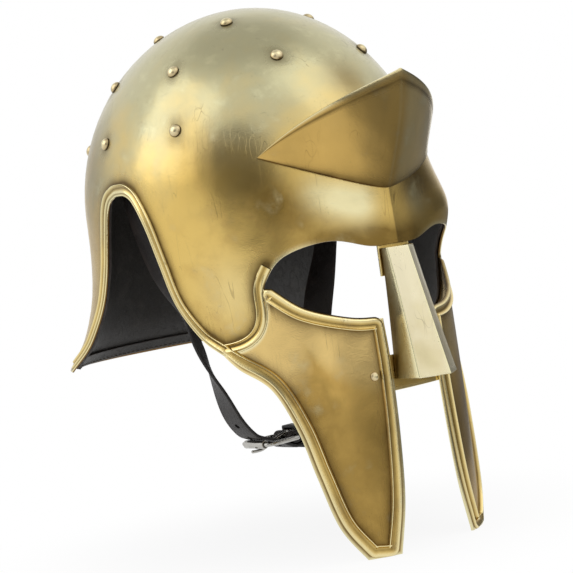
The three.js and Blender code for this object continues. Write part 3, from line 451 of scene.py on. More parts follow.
class Workpiece:
    """A mesh on the bench, shaped with Blender's own tools."""

    def __init__(self, name: str) -> None:
        """Names the object that a tool has just added."""
        self.object = bpy.context.active_object
        self.rename(name)

    def rename(self, name: str) -> "Workpiece":
        """Names the object and its mesh."""
        self.object.name = name
        self.object.data.name = name
        return self

    @staticmethod
    def clear() -> None:
        """Leaves edit mode with nothing selected."""
        if bpy.context.mode != "OBJECT":
            bpy.ops.object.mode_set(mode="OBJECT")
        bpy.ops.object.select_all(action="DESELECT")

    @classmethod
    def added(cls, name: str, form: str, **settings: object) -> "Workpiece":
        """A new piece from one of Blender's primitive meshes."""
        cls.clear()
        getattr(bpy.ops.mesh, f"primitive_{form}_add")(**settings)
        return cls(name)

    @classmethod
    def block(cls, name: str, middle: Sequence[float], size: Sequence[float]) -> "Workpiece":
        """A block of a size about a place, left in edit mode."""
        piece = cls.added(name, "cube", size=1, location=tuple(middle))
        piece.edit()
        bpy.ops.transform.resize(value=tuple(size), center_override=tuple(piece.object.location))
        return piece

    @classmethod
    def laid(cls, name: str, table: Array, marks: dict[str, Amount]) -> "Workpiece":
        """A grid of faces laid on rows of points.

        Args:
            name: the piece's name.
            table: rows and columns of points.
            marks: values of each point that the finishes read, such as grime.

        Returns:
            The workpiece.
        """
        shape = table.shape[:2]
        piece = cls.added(name, "grid", x_subdivisions=shape[1] - 1, y_subdivisions=shape[0] - 1, size=1)
        piece.object.data.vertices.foreach_set("co", table.reshape(-1).astype(np.float32))
        for mark, values in marks.items():
            piece.set_mark(mark, np.broadcast_to(values, shape).reshape(-1))
        piece.object.data.update()
        return piece

    def hold(self) -> None:
        """Makes this the only selected object, and the active one."""
        self.clear()
        self.object.select_set(True)
        bpy.context.view_layer.objects.active = self.object

    def edit(self, mode: str = "VERT") -> None:
        """Goes into edit mode with everything selected: every VERT, EDGE or FACE."""
        self.hold()
        bpy.ops.object.mode_set(mode="EDIT")
        bpy.ops.mesh.select_mode(type=mode)
        bpy.ops.mesh.select_all(action="SELECT")

    def pick(self, mode: str, chosen: Callable[[bpy.types.bpy_struct], bool]) -> None:
        """Goes into edit mode with only some edges or faces selected.

        Args:
            mode: what is selected: EDGE or FACE.
            chosen: the test that chooses them.
        """
        self.edit(mode)
        bpy.ops.mesh.select_all(action="DESELECT")
        bpy.ops.object.mode_set(mode="OBJECT")
        mesh = self.object.data
        for part in mesh.polygons if mode == "FACE" else mesh.edges:
            part.select = bool(chosen(part))
        bpy.ops.object.mode_set(mode="EDIT")

    def pick_edges(self, axis: int, least: float) -> None:
        """Goes into edit mode with the edges selected that are longer than a length along an axis."""

        def chosen(edge: bpy.types.MeshEdge) -> bool:
            """Whether an edge is one of them."""
            a, b = (self.object.data.vertices[v].co[axis] for v in edge.vertices)
            return abs(a - b) > least

        self.pick("EDGE", chosen)

    def close_up(self) -> "Workpiece":
        """Merges doubled points of a closed body and turns its faces outward."""
        self.edit()
        bpy.ops.mesh.remove_doubles(threshold=MERGE_REACH)
        bpy.ops.mesh.select_all(action="SELECT")
        bpy.ops.mesh.normals_make_consistent(inside=False)
        bpy.ops.object.mode_set(mode="OBJECT")
        return self

    def face_from(self, centre: Sequence[float]) -> "Workpiece":
        """Turns an open sheet's faces away from a point."""
        middle = Vector(centre)
        faces = self.object.data.polygons
        if sum(face.normal.dot(face.center - middle) * face.area for face in faces) < 0:
            self.edit("FACE")
            bpy.ops.mesh.flip_normals()
            bpy.ops.object.mode_set(mode="OBJECT")
        return self

    def modify(self, kind: str, **settings: object) -> "Workpiece":
        """Adds a modifier with its settings and applies it."""
        self.hold()
        modifier = self.object.modifiers.new(kind.title(), kind)
        for key, value in settings.items():
            setattr(modifier, key, value)
        bpy.ops.object.modifier_apply(modifier=modifier.name)
        return self

    def thicken(self, thickness: float) -> "Workpiece":
        """Gives a sheet its thickness, on the side that its faces look away from."""
        return self.modify("SOLIDIFY", thickness=thickness, offset=-1, use_even_offset=True)

    def round_edges(self, radius: float = EDGE, segments: int = 3, sharper_than: float = 50) -> "Workpiece":
        """Rounds the edges that are sharper than an angle in degrees."""
        return self.modify("BEVEL", width=radius, segments=segments, limit_method="ANGLE",
                           angle_limit=sharper_than * DEGREE, harden_normals=False)

    def smooth(self, angle: float = 50) -> "Workpiece":
        """Shades the piece smooth across edges flatter than an angle in degrees."""
        self.hold()
        bpy.ops.object.shade_smooth_by_angle(angle=angle * DEGREE)
        return self

    def cut(self, tool: "Workpiece") -> "Workpiece":
        """Takes another piece's form out of this one, and uses that piece up."""
        self.modify("BOOLEAN", object=tool.object, operation="DIFFERENCE", solver="EXACT")
        tool.discard()
        return self

    def discard(self) -> None:
        """Takes the piece off the bench."""
        mesh = self.object.data
        bpy.data.objects.remove(self.object)
        bpy.data.meshes.remove(mesh)

    def join(self, others: Sequence["Workpiece"]) -> "Workpiece":
        """Joins other pieces into this one."""
        self.hold()
        for other in others:
            other.object.select_set(True)
        bpy.ops.object.join()
        return self

    def place(self, matrix: Matrix) -> "Workpiece":
        """Moves the mesh, and leaves its object at the origin."""
        self.hold()
        self.object.matrix_world = matrix
        bpy.ops.object.transform_apply(location=True, rotation=True, scale=True)
        return self

    def twin(self, name: str, matrix: Matrix) -> "Workpiece":
        """A copy with its own mesh, placed by a matrix."""
        copy = self.object.copy()
        copy.data = self.object.data.copy()
        bpy.context.collection.objects.link(copy)
        bpy.context.view_layer.objects.active = copy
        return Workpiece(name).place(matrix)

    def set_mark(self, name: str, values: Array) -> None:
        """Gives each point a value that the finishes read under a name."""
        layer = self.object.data.attributes.new(name, "FLOAT", "POINT")
        layer.data.foreach_set("value", values.astype(np.float32))

    def mark(self, name: str, value: Callable[[Array], Amount]) -> "Workpiece":
        """Gives each point a value worked out from the points' places."""
        count = len(self.object.data.vertices)
        points = np.empty(count * 3, np.float32)
        self.object.data.vertices.foreach_get("co", points)
        self.set_mark(name, np.broadcast_to(value(points.reshape(-1, 3).astype(float)), count))
        return self

    def finish(self, body: Body, slot: Slot, look: bpy.types.Material, *nodes: str) -> None:
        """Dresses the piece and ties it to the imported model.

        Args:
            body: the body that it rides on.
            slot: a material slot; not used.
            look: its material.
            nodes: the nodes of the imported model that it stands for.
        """
        mesh = self.object.data
        mesh.materials.clear()
        mesh.materials.append(look)
        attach(self.object, body.value)
        if nodes:
            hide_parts(*nodes)
        LOG.info("%s: %d faces on %s", self.object.name, len(mesh.polygons), body.value)


def aim(place: Sequence[float], along: Sequence[float]) -> Matrix:
    """Matrix that carries a piece drawn along +Z at the origin to a place and a direction."""
    turn = Vector((0, 0, 1)).rotation_difference(Vector(along))
    return Matrix.Translation(Vector(place)) @ turn.to_matrix().to_4x4()


def seated(angle: float, level: float) -> Matrix:
    """Matrix that stands a piece drawn along +Z on the bowl's outside."""
    return aim(SHELL.inset(angle, level, -SEAT_LIFT), SHELL.normal(angle, level))


def folded(outer: Array, inner: Array, bulge: float) -> Array:
    """Rows of a whole wall: down its outside, round its rim and up its inside.

    Args:
        outer: rows of the outside, from the crown down.
        inner: rows of the inside, in the same order.
        bulge: how far the rim's middle stands out.

    Returns:
        The rows as one table.
    """
    down = unit(outer[-1] + inner[-1] - outer[-2] - inner[-2])
    rim = [lerp(outer[-1], inner[-1], s) + down * bulge * math.sin(s * math.pi) for s in (0.25, 0.5, 0.75)]
    return np.concatenate([outer, np.stack(rim), inner[::-1]])


def swept(centres: Array, across: Array, normals: Array, section: Array, closed: bool = False) -> Array:
    """Rows of a closed section carried along a route.

    Args:
        centres: points of the route.
        across: each point's direction for the section's first axis.
        normals: each point's direction for the section's second axis.
        section: points of the section, or one list of them for each point of the route.
        closed: whether the route closes on itself.

    Returns:
        The rows, with the section closed and each open end drawn to a point.
    """
    section = np.broadcast_to(section, (len(centres),) + section.shape[-2:])
    rows = centres[:, None] + across[:, None] * section[..., :1] + normals[:, None] * section[..., 1:]
    rows = np.concatenate([rows, rows[:, :1]], axis=1)
    if closed:
        return np.concatenate([rows, rows[:1]])
    ends = [np.broadcast_to(rows[k, :-1].mean(axis=0), rows[k].shape)[None] for k in (0, -1)]
    return np.concatenate([ends[0], rows, ends[1]])


def looped(table: Array) -> Array:
    """Rows that run on to their first point."""
    return np.concatenate([table, table[:, :1]], axis=1)


def nearness(points: Array, targets: Array, reach: float) -> Array:
    """How near each point is to any target: 1 at it, falling off over a reach."""
    flat, best = points.reshape(-1, 3), []
    for start in range(0, len(flat), CHUNK):
        apart = flat[start:start + CHUNK, None] - targets
        best.append((apart * apart).sum(axis=-1).min(axis=1))
    return np.exp(-np.concatenate(best) / reach**2).reshape(points.shape[:-1])


# Materials, written as expressions


@dataclass(frozen=True)
class Socket:
    """A node's output, with arithmetic that adds the nodes it needs."""

    shader: "Nodes"
    link: bpy.types.NodeSocket

    def math(self, operation: str, *values: Union["Socket", float]) -> "Socket":
        """A Math node on listed values."""
        return self.shader.node("Math", {"operation": operation}, dict(enumerate(values)))

    def __add__(self, other: Union["Socket", float]) -> "Socket":
        """Sum."""
        return self.math("ADD", self, other)

    def __radd__(self, other: float) -> "Socket":
        """Sum with a number first."""
        return self.math("ADD", other, self)

    def __sub__(self, other: Union["Socket", float]) -> "Socket":
        """Difference."""
        return self.math("SUBTRACT", self, other)

    def __rsub__(self, other: float) -> "Socket":
        """Difference from a number."""
        return self.math("SUBTRACT", other, self)

    def __mul__(self, other: Union["Socket", float]) -> "Socket":
        """Product."""
        return self.math("MULTIPLY", self, other)

    def __rmul__(self, other: float) -> "Socket":
        """Product with a number first."""
        return self.math("MULTIPLY", other, self)

    def size(self) -> "Socket":
        """Value without its sign."""
        return self.math("ABSOLUTE", self)

    def clamped(self) -> "Socket":
        """Value held between 0 and 1."""
        return self.shader.node("Clamp", {}, {0: self})

    def ramp(self, low: float, high: float) -> "Socket":
        """Smooth rise from 0 at one value to 1 at another, which may be the lower one."""
        settings = {"interpolation_type": "SMOOTHSTEP"}
        ends = (0.0, 1.0) if low < high else (1.0, 0.0)
        values = {"Value": self, "From Min": min(low, high), "From Max": max(low, high),
                  "To Min": ends[0], "To Max": ends[1]}
        return self.shader.node("MapRange", settings, values)


Number = Union[Socket, float]
Tint = Union[Socket, Triple]


def tint(red: int, green: int, blue: int) -> Triple:
    """Colour from its values on screen, 0 to 255."""
    shares = (c / 255 for c in (red, green, blue))
    linear = [c / 12.92 if c <= 0.04045 else ((c + 0.055) / 1.055) ** 2.4 for c in shares]
    return (linear[0], linear[1], linear[2])


class Nodes:
    """The nodes of a material or of the room."""

    def __init__(self, tree: bpy.types.NodeTree, coordinates: str) -> None:
        """Starts on a tree, with the kind of coordinates that its patterns follow."""
        self.tree = tree
        self.place = self.node("TexCoord", {}, {}, coordinates)

    def node(self, kind: str, settings: dict, values: dict, output: Union[int, str] = 0) -> Socket:
        """Adds a node.

        Args:
            kind: its type, without the ShaderNode in front.
            settings: its own settings.
            values: values or links of its sockets, by name or number.
            output: the output that is wanted.

        Returns:
            The wanted output.
        """
        node = self.tree.nodes.new("ShaderNode" + kind)
        for key, value in settings.items():
            setattr(node, key, value)
        for key, value in values.items():
            self.feed(node.inputs[key], value)
        return Socket(self, node.outputs[output])

    def feed(self, socket: bpy.types.NodeSocket, value: Union[Number, Tint]) -> None:
        """Links a socket or sets its value."""
        if isinstance(value, Socket):
            self.tree.links.new(value.link, socket)
        elif isinstance(value, tuple) and socket.type == "RGBA":
            socket.default_value = (*value, 1.0)
        else:
            socket.default_value = value

    def stretched(self, scale: Triple, turn: Triple = (0, 0, 0)) -> Socket:
        """The coordinates turned by degrees and stretched."""
        angles = tuple(a * DEGREE for a in turn)
        return self.node("Mapping", {}, {"Vector": self.place, "Rotation": angles, "Scale": scale})

    def noise(self, scale: float, detail: float = 2, rough: float = 0.5, warp: float = 0,
              at: Optional[Socket] = None) -> Socket:
        """Noise, near 0.5 on the whole.

        Args:
            scale: bumps for each metre.
            detail: finer layers on top.
            rough: weight of the finer layers.
            warp: how far it is distorted.
            at: its coordinates, in place of the object's.

        Returns:
            The noise.
        """
        values = {"Vector": at or self.place, "Scale": scale, "Detail": detail, "Roughness": rough,
                  "Distortion": warp}
        return self.node("TexNoise", {}, values)

    def cells(self, scale: float, feature: str = "F1") -> Socket:
        """Distance in a pattern of cells."""
        values = {"Vector": self.place, "Scale": scale}
        return self.node("TexVoronoi", {"feature": feature}, values, "Distance")

    def mark(self, name: str) -> Socket:
        """Value that the piece's points carry under a name."""
        return self.node("Attribute", {"attribute_name": name}, {}, "Fac")

    def height(self) -> Socket:
        """Height in metres above the dome's widest level."""
        return self.node("SeparateXYZ", {}, {0: self.place}, "Z")

    def mix(self, a: Tint, b: Tint, share: Number) -> Socket:
        """Colour a share of the way from one to another."""
        return self.node("Mix", {"data_type": "RGBA"}, {0: share, 6: a, 7: b}, 2)

    def blend(self, a: Number, b: Number, share: Number) -> Socket:
        """Number a share of the way from one to another."""
        return self.node("Mix", {"data_type": "FLOAT"}, {0: share, 2: a, 3: b}, 0)

    def ray(self, kind: str) -> Socket:
        """1 for a ray of a kind, such as Camera or Glossy."""
        return self.node("LightPath", {}, {}, f"Is {kind} Ray")

    def toward(self, way: Vector) -> Socket:
        """How far the coordinates lie along a direction."""
        return self.node("VectorMath", {"operation": "DOT_PRODUCT"}, {0: self.place, 1: way}, "Value")

    def scratches(self, scale: float, thin: float, turn: float) -> Socket:
        """Fine lines one way over the surface, 1 on a line.

        Args:
            scale: lines for each metre across them.
            thin: width of a line in the noise.
            turn: the lines' slant in degrees.

        Returns:
            The mask of the lines.
        """
        drawn = self.noise(1, 0, 0, 0, self.stretched((scale, scale, scale / 45), (turn, turn / 2, 0)))
        patches = self.noise(38, 2, 0.6).ramp(0.5, 0.62)
        return (drawn - 0.5).size().ramp(thin, thin / 3) * patches

    def bump(self, height: Number, distance: float, under: Optional[Socket] = None) -> Socket:
        """Relief of a height in metres, over another relief."""
        values = {"Height": height, "Distance": distance, "Strength": 1.0}
        if under:
            values["Normal"] = under
        return self.node("Bump", {}, values)


class Shader(Nodes):
    """The nodes of one material, on its own Principled shader."""

    def __init__(self, name: str) -> None:
        """Starts a material."""
        self.material = bpy.data.materials.new(name)
        self.material.use_nodes = True
        super().__init__(self.material.node_tree, "Object")
        self.surface = self.tree.nodes["Principled BSDF"]

    def finished(self, sockets: dict) -> bpy.types.Material:
        """Feeds the Principled shader's sockets and gives the material."""
        for key, value in sockets.items():
            self.feed(self.surface.inputs[key], value)
        return self.material


@dataclass(frozen=True)
class AgedBrass:
    """Beaten brass, golden, with a pale olive cloud on top, dirt beside its raised lines, and painted shade
    and painted highlights where its pieces' marks ask for them.
    """

    name: str
    gold: Triple = tint(222, 190, 110)
    orange: Triple = tint(222, 180, 100)
    deep: Triple = tint(180, 144, 74)
    pale: Triple = tint(240, 234, 190)
    olive: Triple = tint(190, 184, 146)
    dirt: Triple = tint(70, 50, 24)
    smoke: Triple = tint(132, 106, 52)
    cloud_from: float = -0.025
    cloud_to: float = 0.085
    roughness: float = 0.23
    dents: float = 0.0004
    inside: Triple = tint(120, 92, 50)

    def dress(self) -> bpy.types.Material:
        """The material."""
        s = Shader(self.name)
        broad, mottle, fine = s.noise(16, 3, 0.55, 0.4), s.noise(70, 5, 0.6, 0.2), s.noise(420, 4, 0.65)
        grime, polish, back = s.mark("grime"), s.mark("polish"), s.mark("inside")
        colour = s.mix(self.gold, self.orange, s.mark("warm") * 0.75)
        colour = s.mix(colour, self.deep, (broad * 0.85 + mottle * 0.35).ramp(0.52, 0.86))
        cloud = (s.height() + (broad - 0.5) * 0.17).ramp(self.cloud_from, self.cloud_to)
        colour = s.mix(colour, self.olive, (cloud * (0.75 + mottle * 0.5) * (1 - s.mark("warm"))).clamped())
        # Painted shade where the pieces' marks ask for it, with random tarnish from the broad noise.
        shade_and_tarnish = (s.mark("smoke") * (0.7 + mottle * 0.6) + broad.ramp(0.6, 0.8) * 0.2).clamped()
        colour = s.mix(colour, self.smoke, shade_and_tarnish)
        rubbed = (mottle * 0.7 + broad * 0.4).ramp(0.58, 0.8)
        # Paler on random rubbed mottles, on rubbed edges, and where the marks carry painted highlights.
        colour = s.mix(colour, self.pale, (rubbed * 0.3 + polish * 0.75).clamped())
        specks = s.cells(520).ramp(0.15, 0.06) * s.noise(45, 2).ramp(0.55, 0.62)
        stain = (grime * (0.65 + mottle)).clamped()
        colour = s.mix(colour, self.dirt, (stain * 0.85 + specks * 0.6).clamped())
        lines = s.scratches(150, 0.006, 24) + s.scratches(190, 0.005, -52)
        colour = s.mix(colour, self.dirt, lines * 0.28)
        colour = s.mix(colour, self.inside, back)
        rough = self.roughness + (mottle - 0.5) * 0.12 + stain * 0.2 - polish * 0.1 + back * 0.12
        dents = s.bump(s.cells(38, "SMOOTH_F1") * 0.5 + s.noise(48, 1), self.dents)
        grain = s.bump(fine + s.noise(1500, 2), 0.00004, dents)
        relief = s.bump(1 - lines.clamped(), 0.00003, grain)
        return s.finished(
            {"Base Color": colour, "Metallic": 1.0, "Roughness": rough.clamped(), "Normal": relief})


@dataclass(frozen=True)
class PolishedSteel:
    """Nickelled steel with rubbed edges and a little dirt."""

    name: str
    bright: Triple = tint(186, 184, 178)
    dull: Triple = tint(150, 147, 140)
    roughness: float = 0.2

    def dress(self) -> bpy.types.Material:
        """The material."""
        s = Shader(self.name)
        cloud, fine = s.noise(260, 4, 0.6), s.noise(1800, 3)
        lines = s.scratches(700, 0.012, 18)
        colour = s.mix(self.bright, self.dull, (cloud.ramp(0.45, 0.7) * 0.6 + lines * 0.4).clamped())
        rough = self.roughness + (cloud - 0.5) * 0.2 + lines * 0.15
        relief = s.bump(fine * 0.5 - lines, 0.00002)
        return s.finished(
            {"Base Color": colour, "Metallic": 1.0, "Roughness": rough.clamped(), "Normal": relief})


@dataclass(frozen=True)
class Leather:
    """Dyed leather with a pebbled grain, worn pale on its edges and creased where it bends."""

    name: str
    face: Triple
    worn: Triple
    edge: Triple
    roughness: float = 0.48
    grain: float = 0.0005
    grain_scale: float = 900
    crease_scale: float = 130

    def dress(self) -> bpy.types.Material:
        """The material."""
        s = Shader(self.name)
        pebbles = s.cells(self.grain_scale, "DISTANCE_TO_EDGE")
        cloud, fine = s.noise(60, 4, 0.6), s.noise(2600, 2)
        wear, rim, stretch = s.mark("wear"), s.mark("rim"), s.stretched((1, 2.6, 1))
        creases = (s.noise(self.crease_scale, 4, 0.7, 0.8, stretch) - 0.5).size().ramp(0.02, 0.0)
        scuffed = (cloud.ramp(0.5, 0.72) * 0.35 + wear * 0.55 + creases * (0.2 + wear * 0.4)).clamped()
        colour = s.mix(self.face, self.worn, scuffed * (0.6 + fine * 0.6))
        colour = s.mix(colour, self.edge, rim)
        colour = s.mix(colour, tint(14, 12, 11), pebbles.ramp(0.16, 0.0) * 0.3)
        rough = self.roughness + (cloud - 0.5) * 0.2 + scuffed * 0.12 - rim * 0.05
        relief = s.bump(pebbles.ramp(0.0, 0.3), self.grain * 0.16)
        relief = s.bump(1 - creases, 0.00012, relief)
        relief = s.bump(cloud + fine * 0.06, 0.0005, relief)
        return s.finished({"Base Color": colour, "Roughness": rough.clamped(), "Normal": relief,
                           "Specular IOR Level": 0.5})


@dataclass(frozen=True)
class Thread:
    """Waxed sewing thread, twisted."""

    name: str
    colour: Triple

    def dress(self) -> bpy.types.Material:
        """The material."""
        s = Shader(self.name)
        fibres = s.noise(3000, 3, 0.7)
        colour = s.mix(self.colour, tint(20, 17, 15), fibres.ramp(0.4, 0.7) * 0.5)
        relief = s.bump(fibres, 0.00006)
        return s.finished({"Base Color": colour, "Roughness": 0.55 + fibres * 0.2, "Normal": relief})


class Finishes:
    """Every finish of the helmet, made once."""

    def __init__(self) -> None:
        """Makes the materials."""
        self.brass = AgedBrass("aged_brass").dress()
        self.bright = AgedBrass(
            "rubbed_brass", gold=tint(240, 230, 196), deep=tint(228, 214, 170), cloud_from=0.3, cloud_to=0.4,
            roughness=0.3, dents=0.0002).dress()
        self.steel = PolishedSteel("nickelled_steel").dress()
        self.lining = Leather("black_lining", tint(57, 55, 52), tint(104, 100, 95), tint(52, 42, 36)).dress()
        self.band = Leather("brown_headband", tint(74, 42, 30), tint(122, 82, 58), tint(60, 36, 26)).dress()
        self.strap = Leather(
            "dark_strap", tint(31, 26, 24), tint(76, 65, 58), tint(24, 19, 17), grain=0.0003).dress()
        self.thread = Thread("waxed_thread", tint(104, 92, 78)).dress()


# Brass


@dataclass(frozen=True)
class Track:
    """Line that a raised border follows over the shell, on the wearer's left, or mirrored to the right."""

    points: Array
    normals: Array
    inward: Array
    size: Array

    @classmethod
    def over(cls, points: Array, normals: Array, size: Amount) -> "Track":
        """A line through points of the surface, with the sheet on its left as seen from outside."""
        inward = unit(np.cross(normals, unit(np.gradient(points, axis=0))))
        return cls(points, normals, inward, np.broadcast_to(size, (len(points),)))

    @classmethod
    def beside(cls, edge: Array, inset: Amount, size: Amount) -> "Track":
        """A line set in from the shell's edge.

        Args:
            edge: angles and heights along the edge.
            inset: distance from the edge.
            size: size of the border along it, as a share of the full one.

        Returns:
            The line.
        """
        level = SHELL.level_of(edge[:, 1])
        line = cls.over(SHELL.inset(edge[:, 0], level, 0), SHELL.normal(edge[:, 0], level), size)
        away = line.inward * np.broadcast_to(inset, level.shape)[:, None]
        return cls(line.points + away, line.normals, line.inward, line.size)

    def rounded(self, times: int) -> "Track":
        """The line with its corners rounded, a little more each time."""
        points = self.points.copy()
        for _ in range(times):
            points[1:-1] = (points[:-2] + 2 * points[1:-1] + points[2:]) / 4
        return Track.over(points, self.normals, self.size)

    def part(self, first: int, last: Optional[int] = None) -> "Track":
        """A run of the line's points."""
        run = slice(first, last)
        return Track(self.points[run], self.normals[run], self.inward[run], self.size[run])

    def on(self, side: Side) -> "Track":
        """The line on one side of the helmet."""
        flip = np.array([side.value, 1, 1])
        return Track(self.points * flip, self.normals * flip, self.inward * flip, self.size)


@dataclass(frozen=True)
class Bead:
    """Section of the raised border: a crisp crest, a shallow valley and a rounded ridge by the edge."""

    width: float = 0.0086
    height: float = 0.0018
    sink: float = 0.0009
    inset: float = 0.0062
    arch_size: float = 0.8
    arch_inset: float = 0.0045
    temple_inset: float = 0.0036
    across: tuple[float, ...] = (-1, -0.9, -0.8, -0.7, -0.58, -0.4, -0.15, 0.1, 0.35, 0.55, 0.72, 0.88, 1)
    rise: tuple[float, ...] = (0, 0.5, 0.95, 1, 0.72, 0.42, 0.34, 0.46, 0.72, 0.8, 0.66, 0.3, 0)
    # Paler along the crest and the outer ridge: rubbed bright, and a painted highlight.
    shine: tuple[float, ...] = (0, 0.2, 1, 1, 0.5, 0.1, 0, 0.1, 0.6, 1, 0.9, 0.3, 0)

    def laid(self, name: str, track: Track, tapers: Pair) -> Workpiece:
        """A border along a line.

        Args:
            name: the piece's name.
            track: the line of its middle.
            tapers: points over which it runs out at its start and its end.

        Returns:
            The workpiece.
        """
        count = len(track.points)
        place = np.arange(count) + 0.5
        full = smooth_step(place / tapers[0]) * smooth_step(place[::-1] / tapers[1])
        size, full = track.size[:, None], full[:, None]
        side = -np.array(self.across) * self.width / 2 * size
        top = np.array(self.rise) * (self.height * size + self.sink) * full - self.sink
        under = np.stack([side[:, [-1, 0]], np.full((count, 2), -self.sink * 1.4)], axis=-1)
        section = np.concatenate([np.stack([side, top], axis=-1), under], axis=1)
        table = swept(track.points, track.inward, track.normals, section)
        shine = np.concatenate([self.shine, [0, 0], self.shine[:1]])
        dirt = np.clip(1.3 - 2.2 * np.concatenate([self.rise, [0, 0], self.rise[:1]]), 0, 1)
        return Workpiece.laid(name, table, {"polish": shine * 0.8, "grime": dirt}).close_up()

    def rear(self) -> tuple[Track, Track]:
        """The line up the cheek guard's rear edge and on round the ear arch, parted at the seam."""
        v = np.linspace(0.955, 0, 110)
        arch = OUTLINES.ear_arch().run(150)
        edge = np.concatenate([OUTLINES.cheek_place(np.ones(len(v)), v)[:-1], arch])
        share = np.concatenate([smooth_step(v[:-1] / 0.2), np.zeros(len(arch))])
        whole = Track.beside(edge, lerp(self.arch_inset, self.inset, share), lerp(self.arch_size, 1.0, share))
        return whole.part(0, len(v)), whole.part(len(v) - 1)

    def temple(self) -> Track:
        """The line down from the eye's outer corner to the ear arch."""
        edge = np.concatenate([OUTLINES.upper_lid().run(60)[-10:-1], OUTLINES.seam(np.linspace(0, 1, 40))])
        return Track.beside(edge, self.temple_inset, self.arch_size).rounded(14)


BEAD = Bead()


def mirrored(edge: Array, side: Side) -> Array:
    """Angles and heights on one of the two sides, running so that the sheet stays on the same hand."""
    return edge if side is Side.LEFT else (edge * [-1, 1])[::-1]


@dataclass
class Studs:
    """Round-headed studs on the bowl, and the rivets of the same make."""

    looks: Finishes
    radius: float = 0.0042
    head: float = 0.003
    shank_radius: float = 0.0015
    turn_step: float = 1.3
    rings: tuple[tuple[float, tuple[float, ...]], ...] = (
        (0.38, (70, 105, 140, 180)), (0.68, (28, 75, 122, 165)), (0.9, (50, 130)))

    def places(self) -> list[Pair]:
        """Angles and levels of the studs."""
        listed = []
        for share, angles in self.rings:
            for angle in angles:
                for side in (1,) if angle == 180 else (1, -1):
                    listed.append((side * angle, float(SHELL.level_of(share * SHELL.height))))
        return listed

    def points(self) -> Array:
        """Middles of the studs' seats."""
        angle, level = np.array(self.places()).T
        return SHELL.inset(angle, level, 0)

    @staticmethod
    def drawn(name: str, radius: float, head: float, shank_radius: float, shank: float) -> Workpiece:
        """A stud standing along +Z, seated at the origin.

        Args:
            name: the piece's name.
            radius: radius of its head.
            head: height of its head.
            shank_radius: radius of its shank.
            shank: length of its shank.

        Returns:
            The workpiece.
        """
        sunk = radius * 0.12
        stud = Workpiece.added(name, "uv_sphere", segments=24, ring_count=16, radius=radius)
        stud.edit()
        bpy.ops.mesh.bisect(plane_co=(0, 0, sunk), plane_no=(0, 0, 1), clear_inner=True, use_fill=True)
        stud.edit()
        bpy.ops.transform.translate(value=(0, 0, -sunk))
        bpy.ops.transform.resize(value=(1, 1, head / (radius - sunk)), center_override=(0, 0, 0))
        stud.pick("FACE", lambda face: face.normal.z < -0.9)
        bpy.ops.mesh.inset(thickness=radius * 0.995 - shank_radius, depth=0)
        bpy.ops.mesh.extrude_region_move(TRANSFORM_OT_translate={"value": (0, 0, -shank)})
        stud.close_up().round_edges(head * 0.07, 2, 60).smooth()
        # Paler over the top of the head, rubbed and with a painted highlight, and painted shade round its
        # lower sides.
        stud.mark("polish", lambda p: smooth_step((p[:, 2] / head - 0.55) / 0.45) * 0.5)
        stud.mark("smoke", lambda p: 0.55 - 0.35 * smooth_step(p[:, 2] / head))
        stud.mark("warm", lambda p: 0.4)
        return stud.mark("grime", lambda p: np.clip(1 - p[:, 2] / (0.3 * head), 0, 1))

    def build(self) -> None:
        """Makes one stud and sets its copies into the bowl."""
        shank = LAYERS.brass + LAYERS.gap
        pattern = self.drawn("stud_pattern", self.radius, self.head, self.shank_radius, shank)
        for k, (angle, level) in enumerate(self.places()):
            turned = seated(angle, level) @ Matrix.Rotation(k * self.turn_step, 4, "Z")
            pattern.twin(f"domed_stud_{k + 1}", turned).finish(
                Body.HELMET, Slot.BRIGHT_BRASS, self.looks.bright, f"stud_{k + 1}")
        pattern.discard()


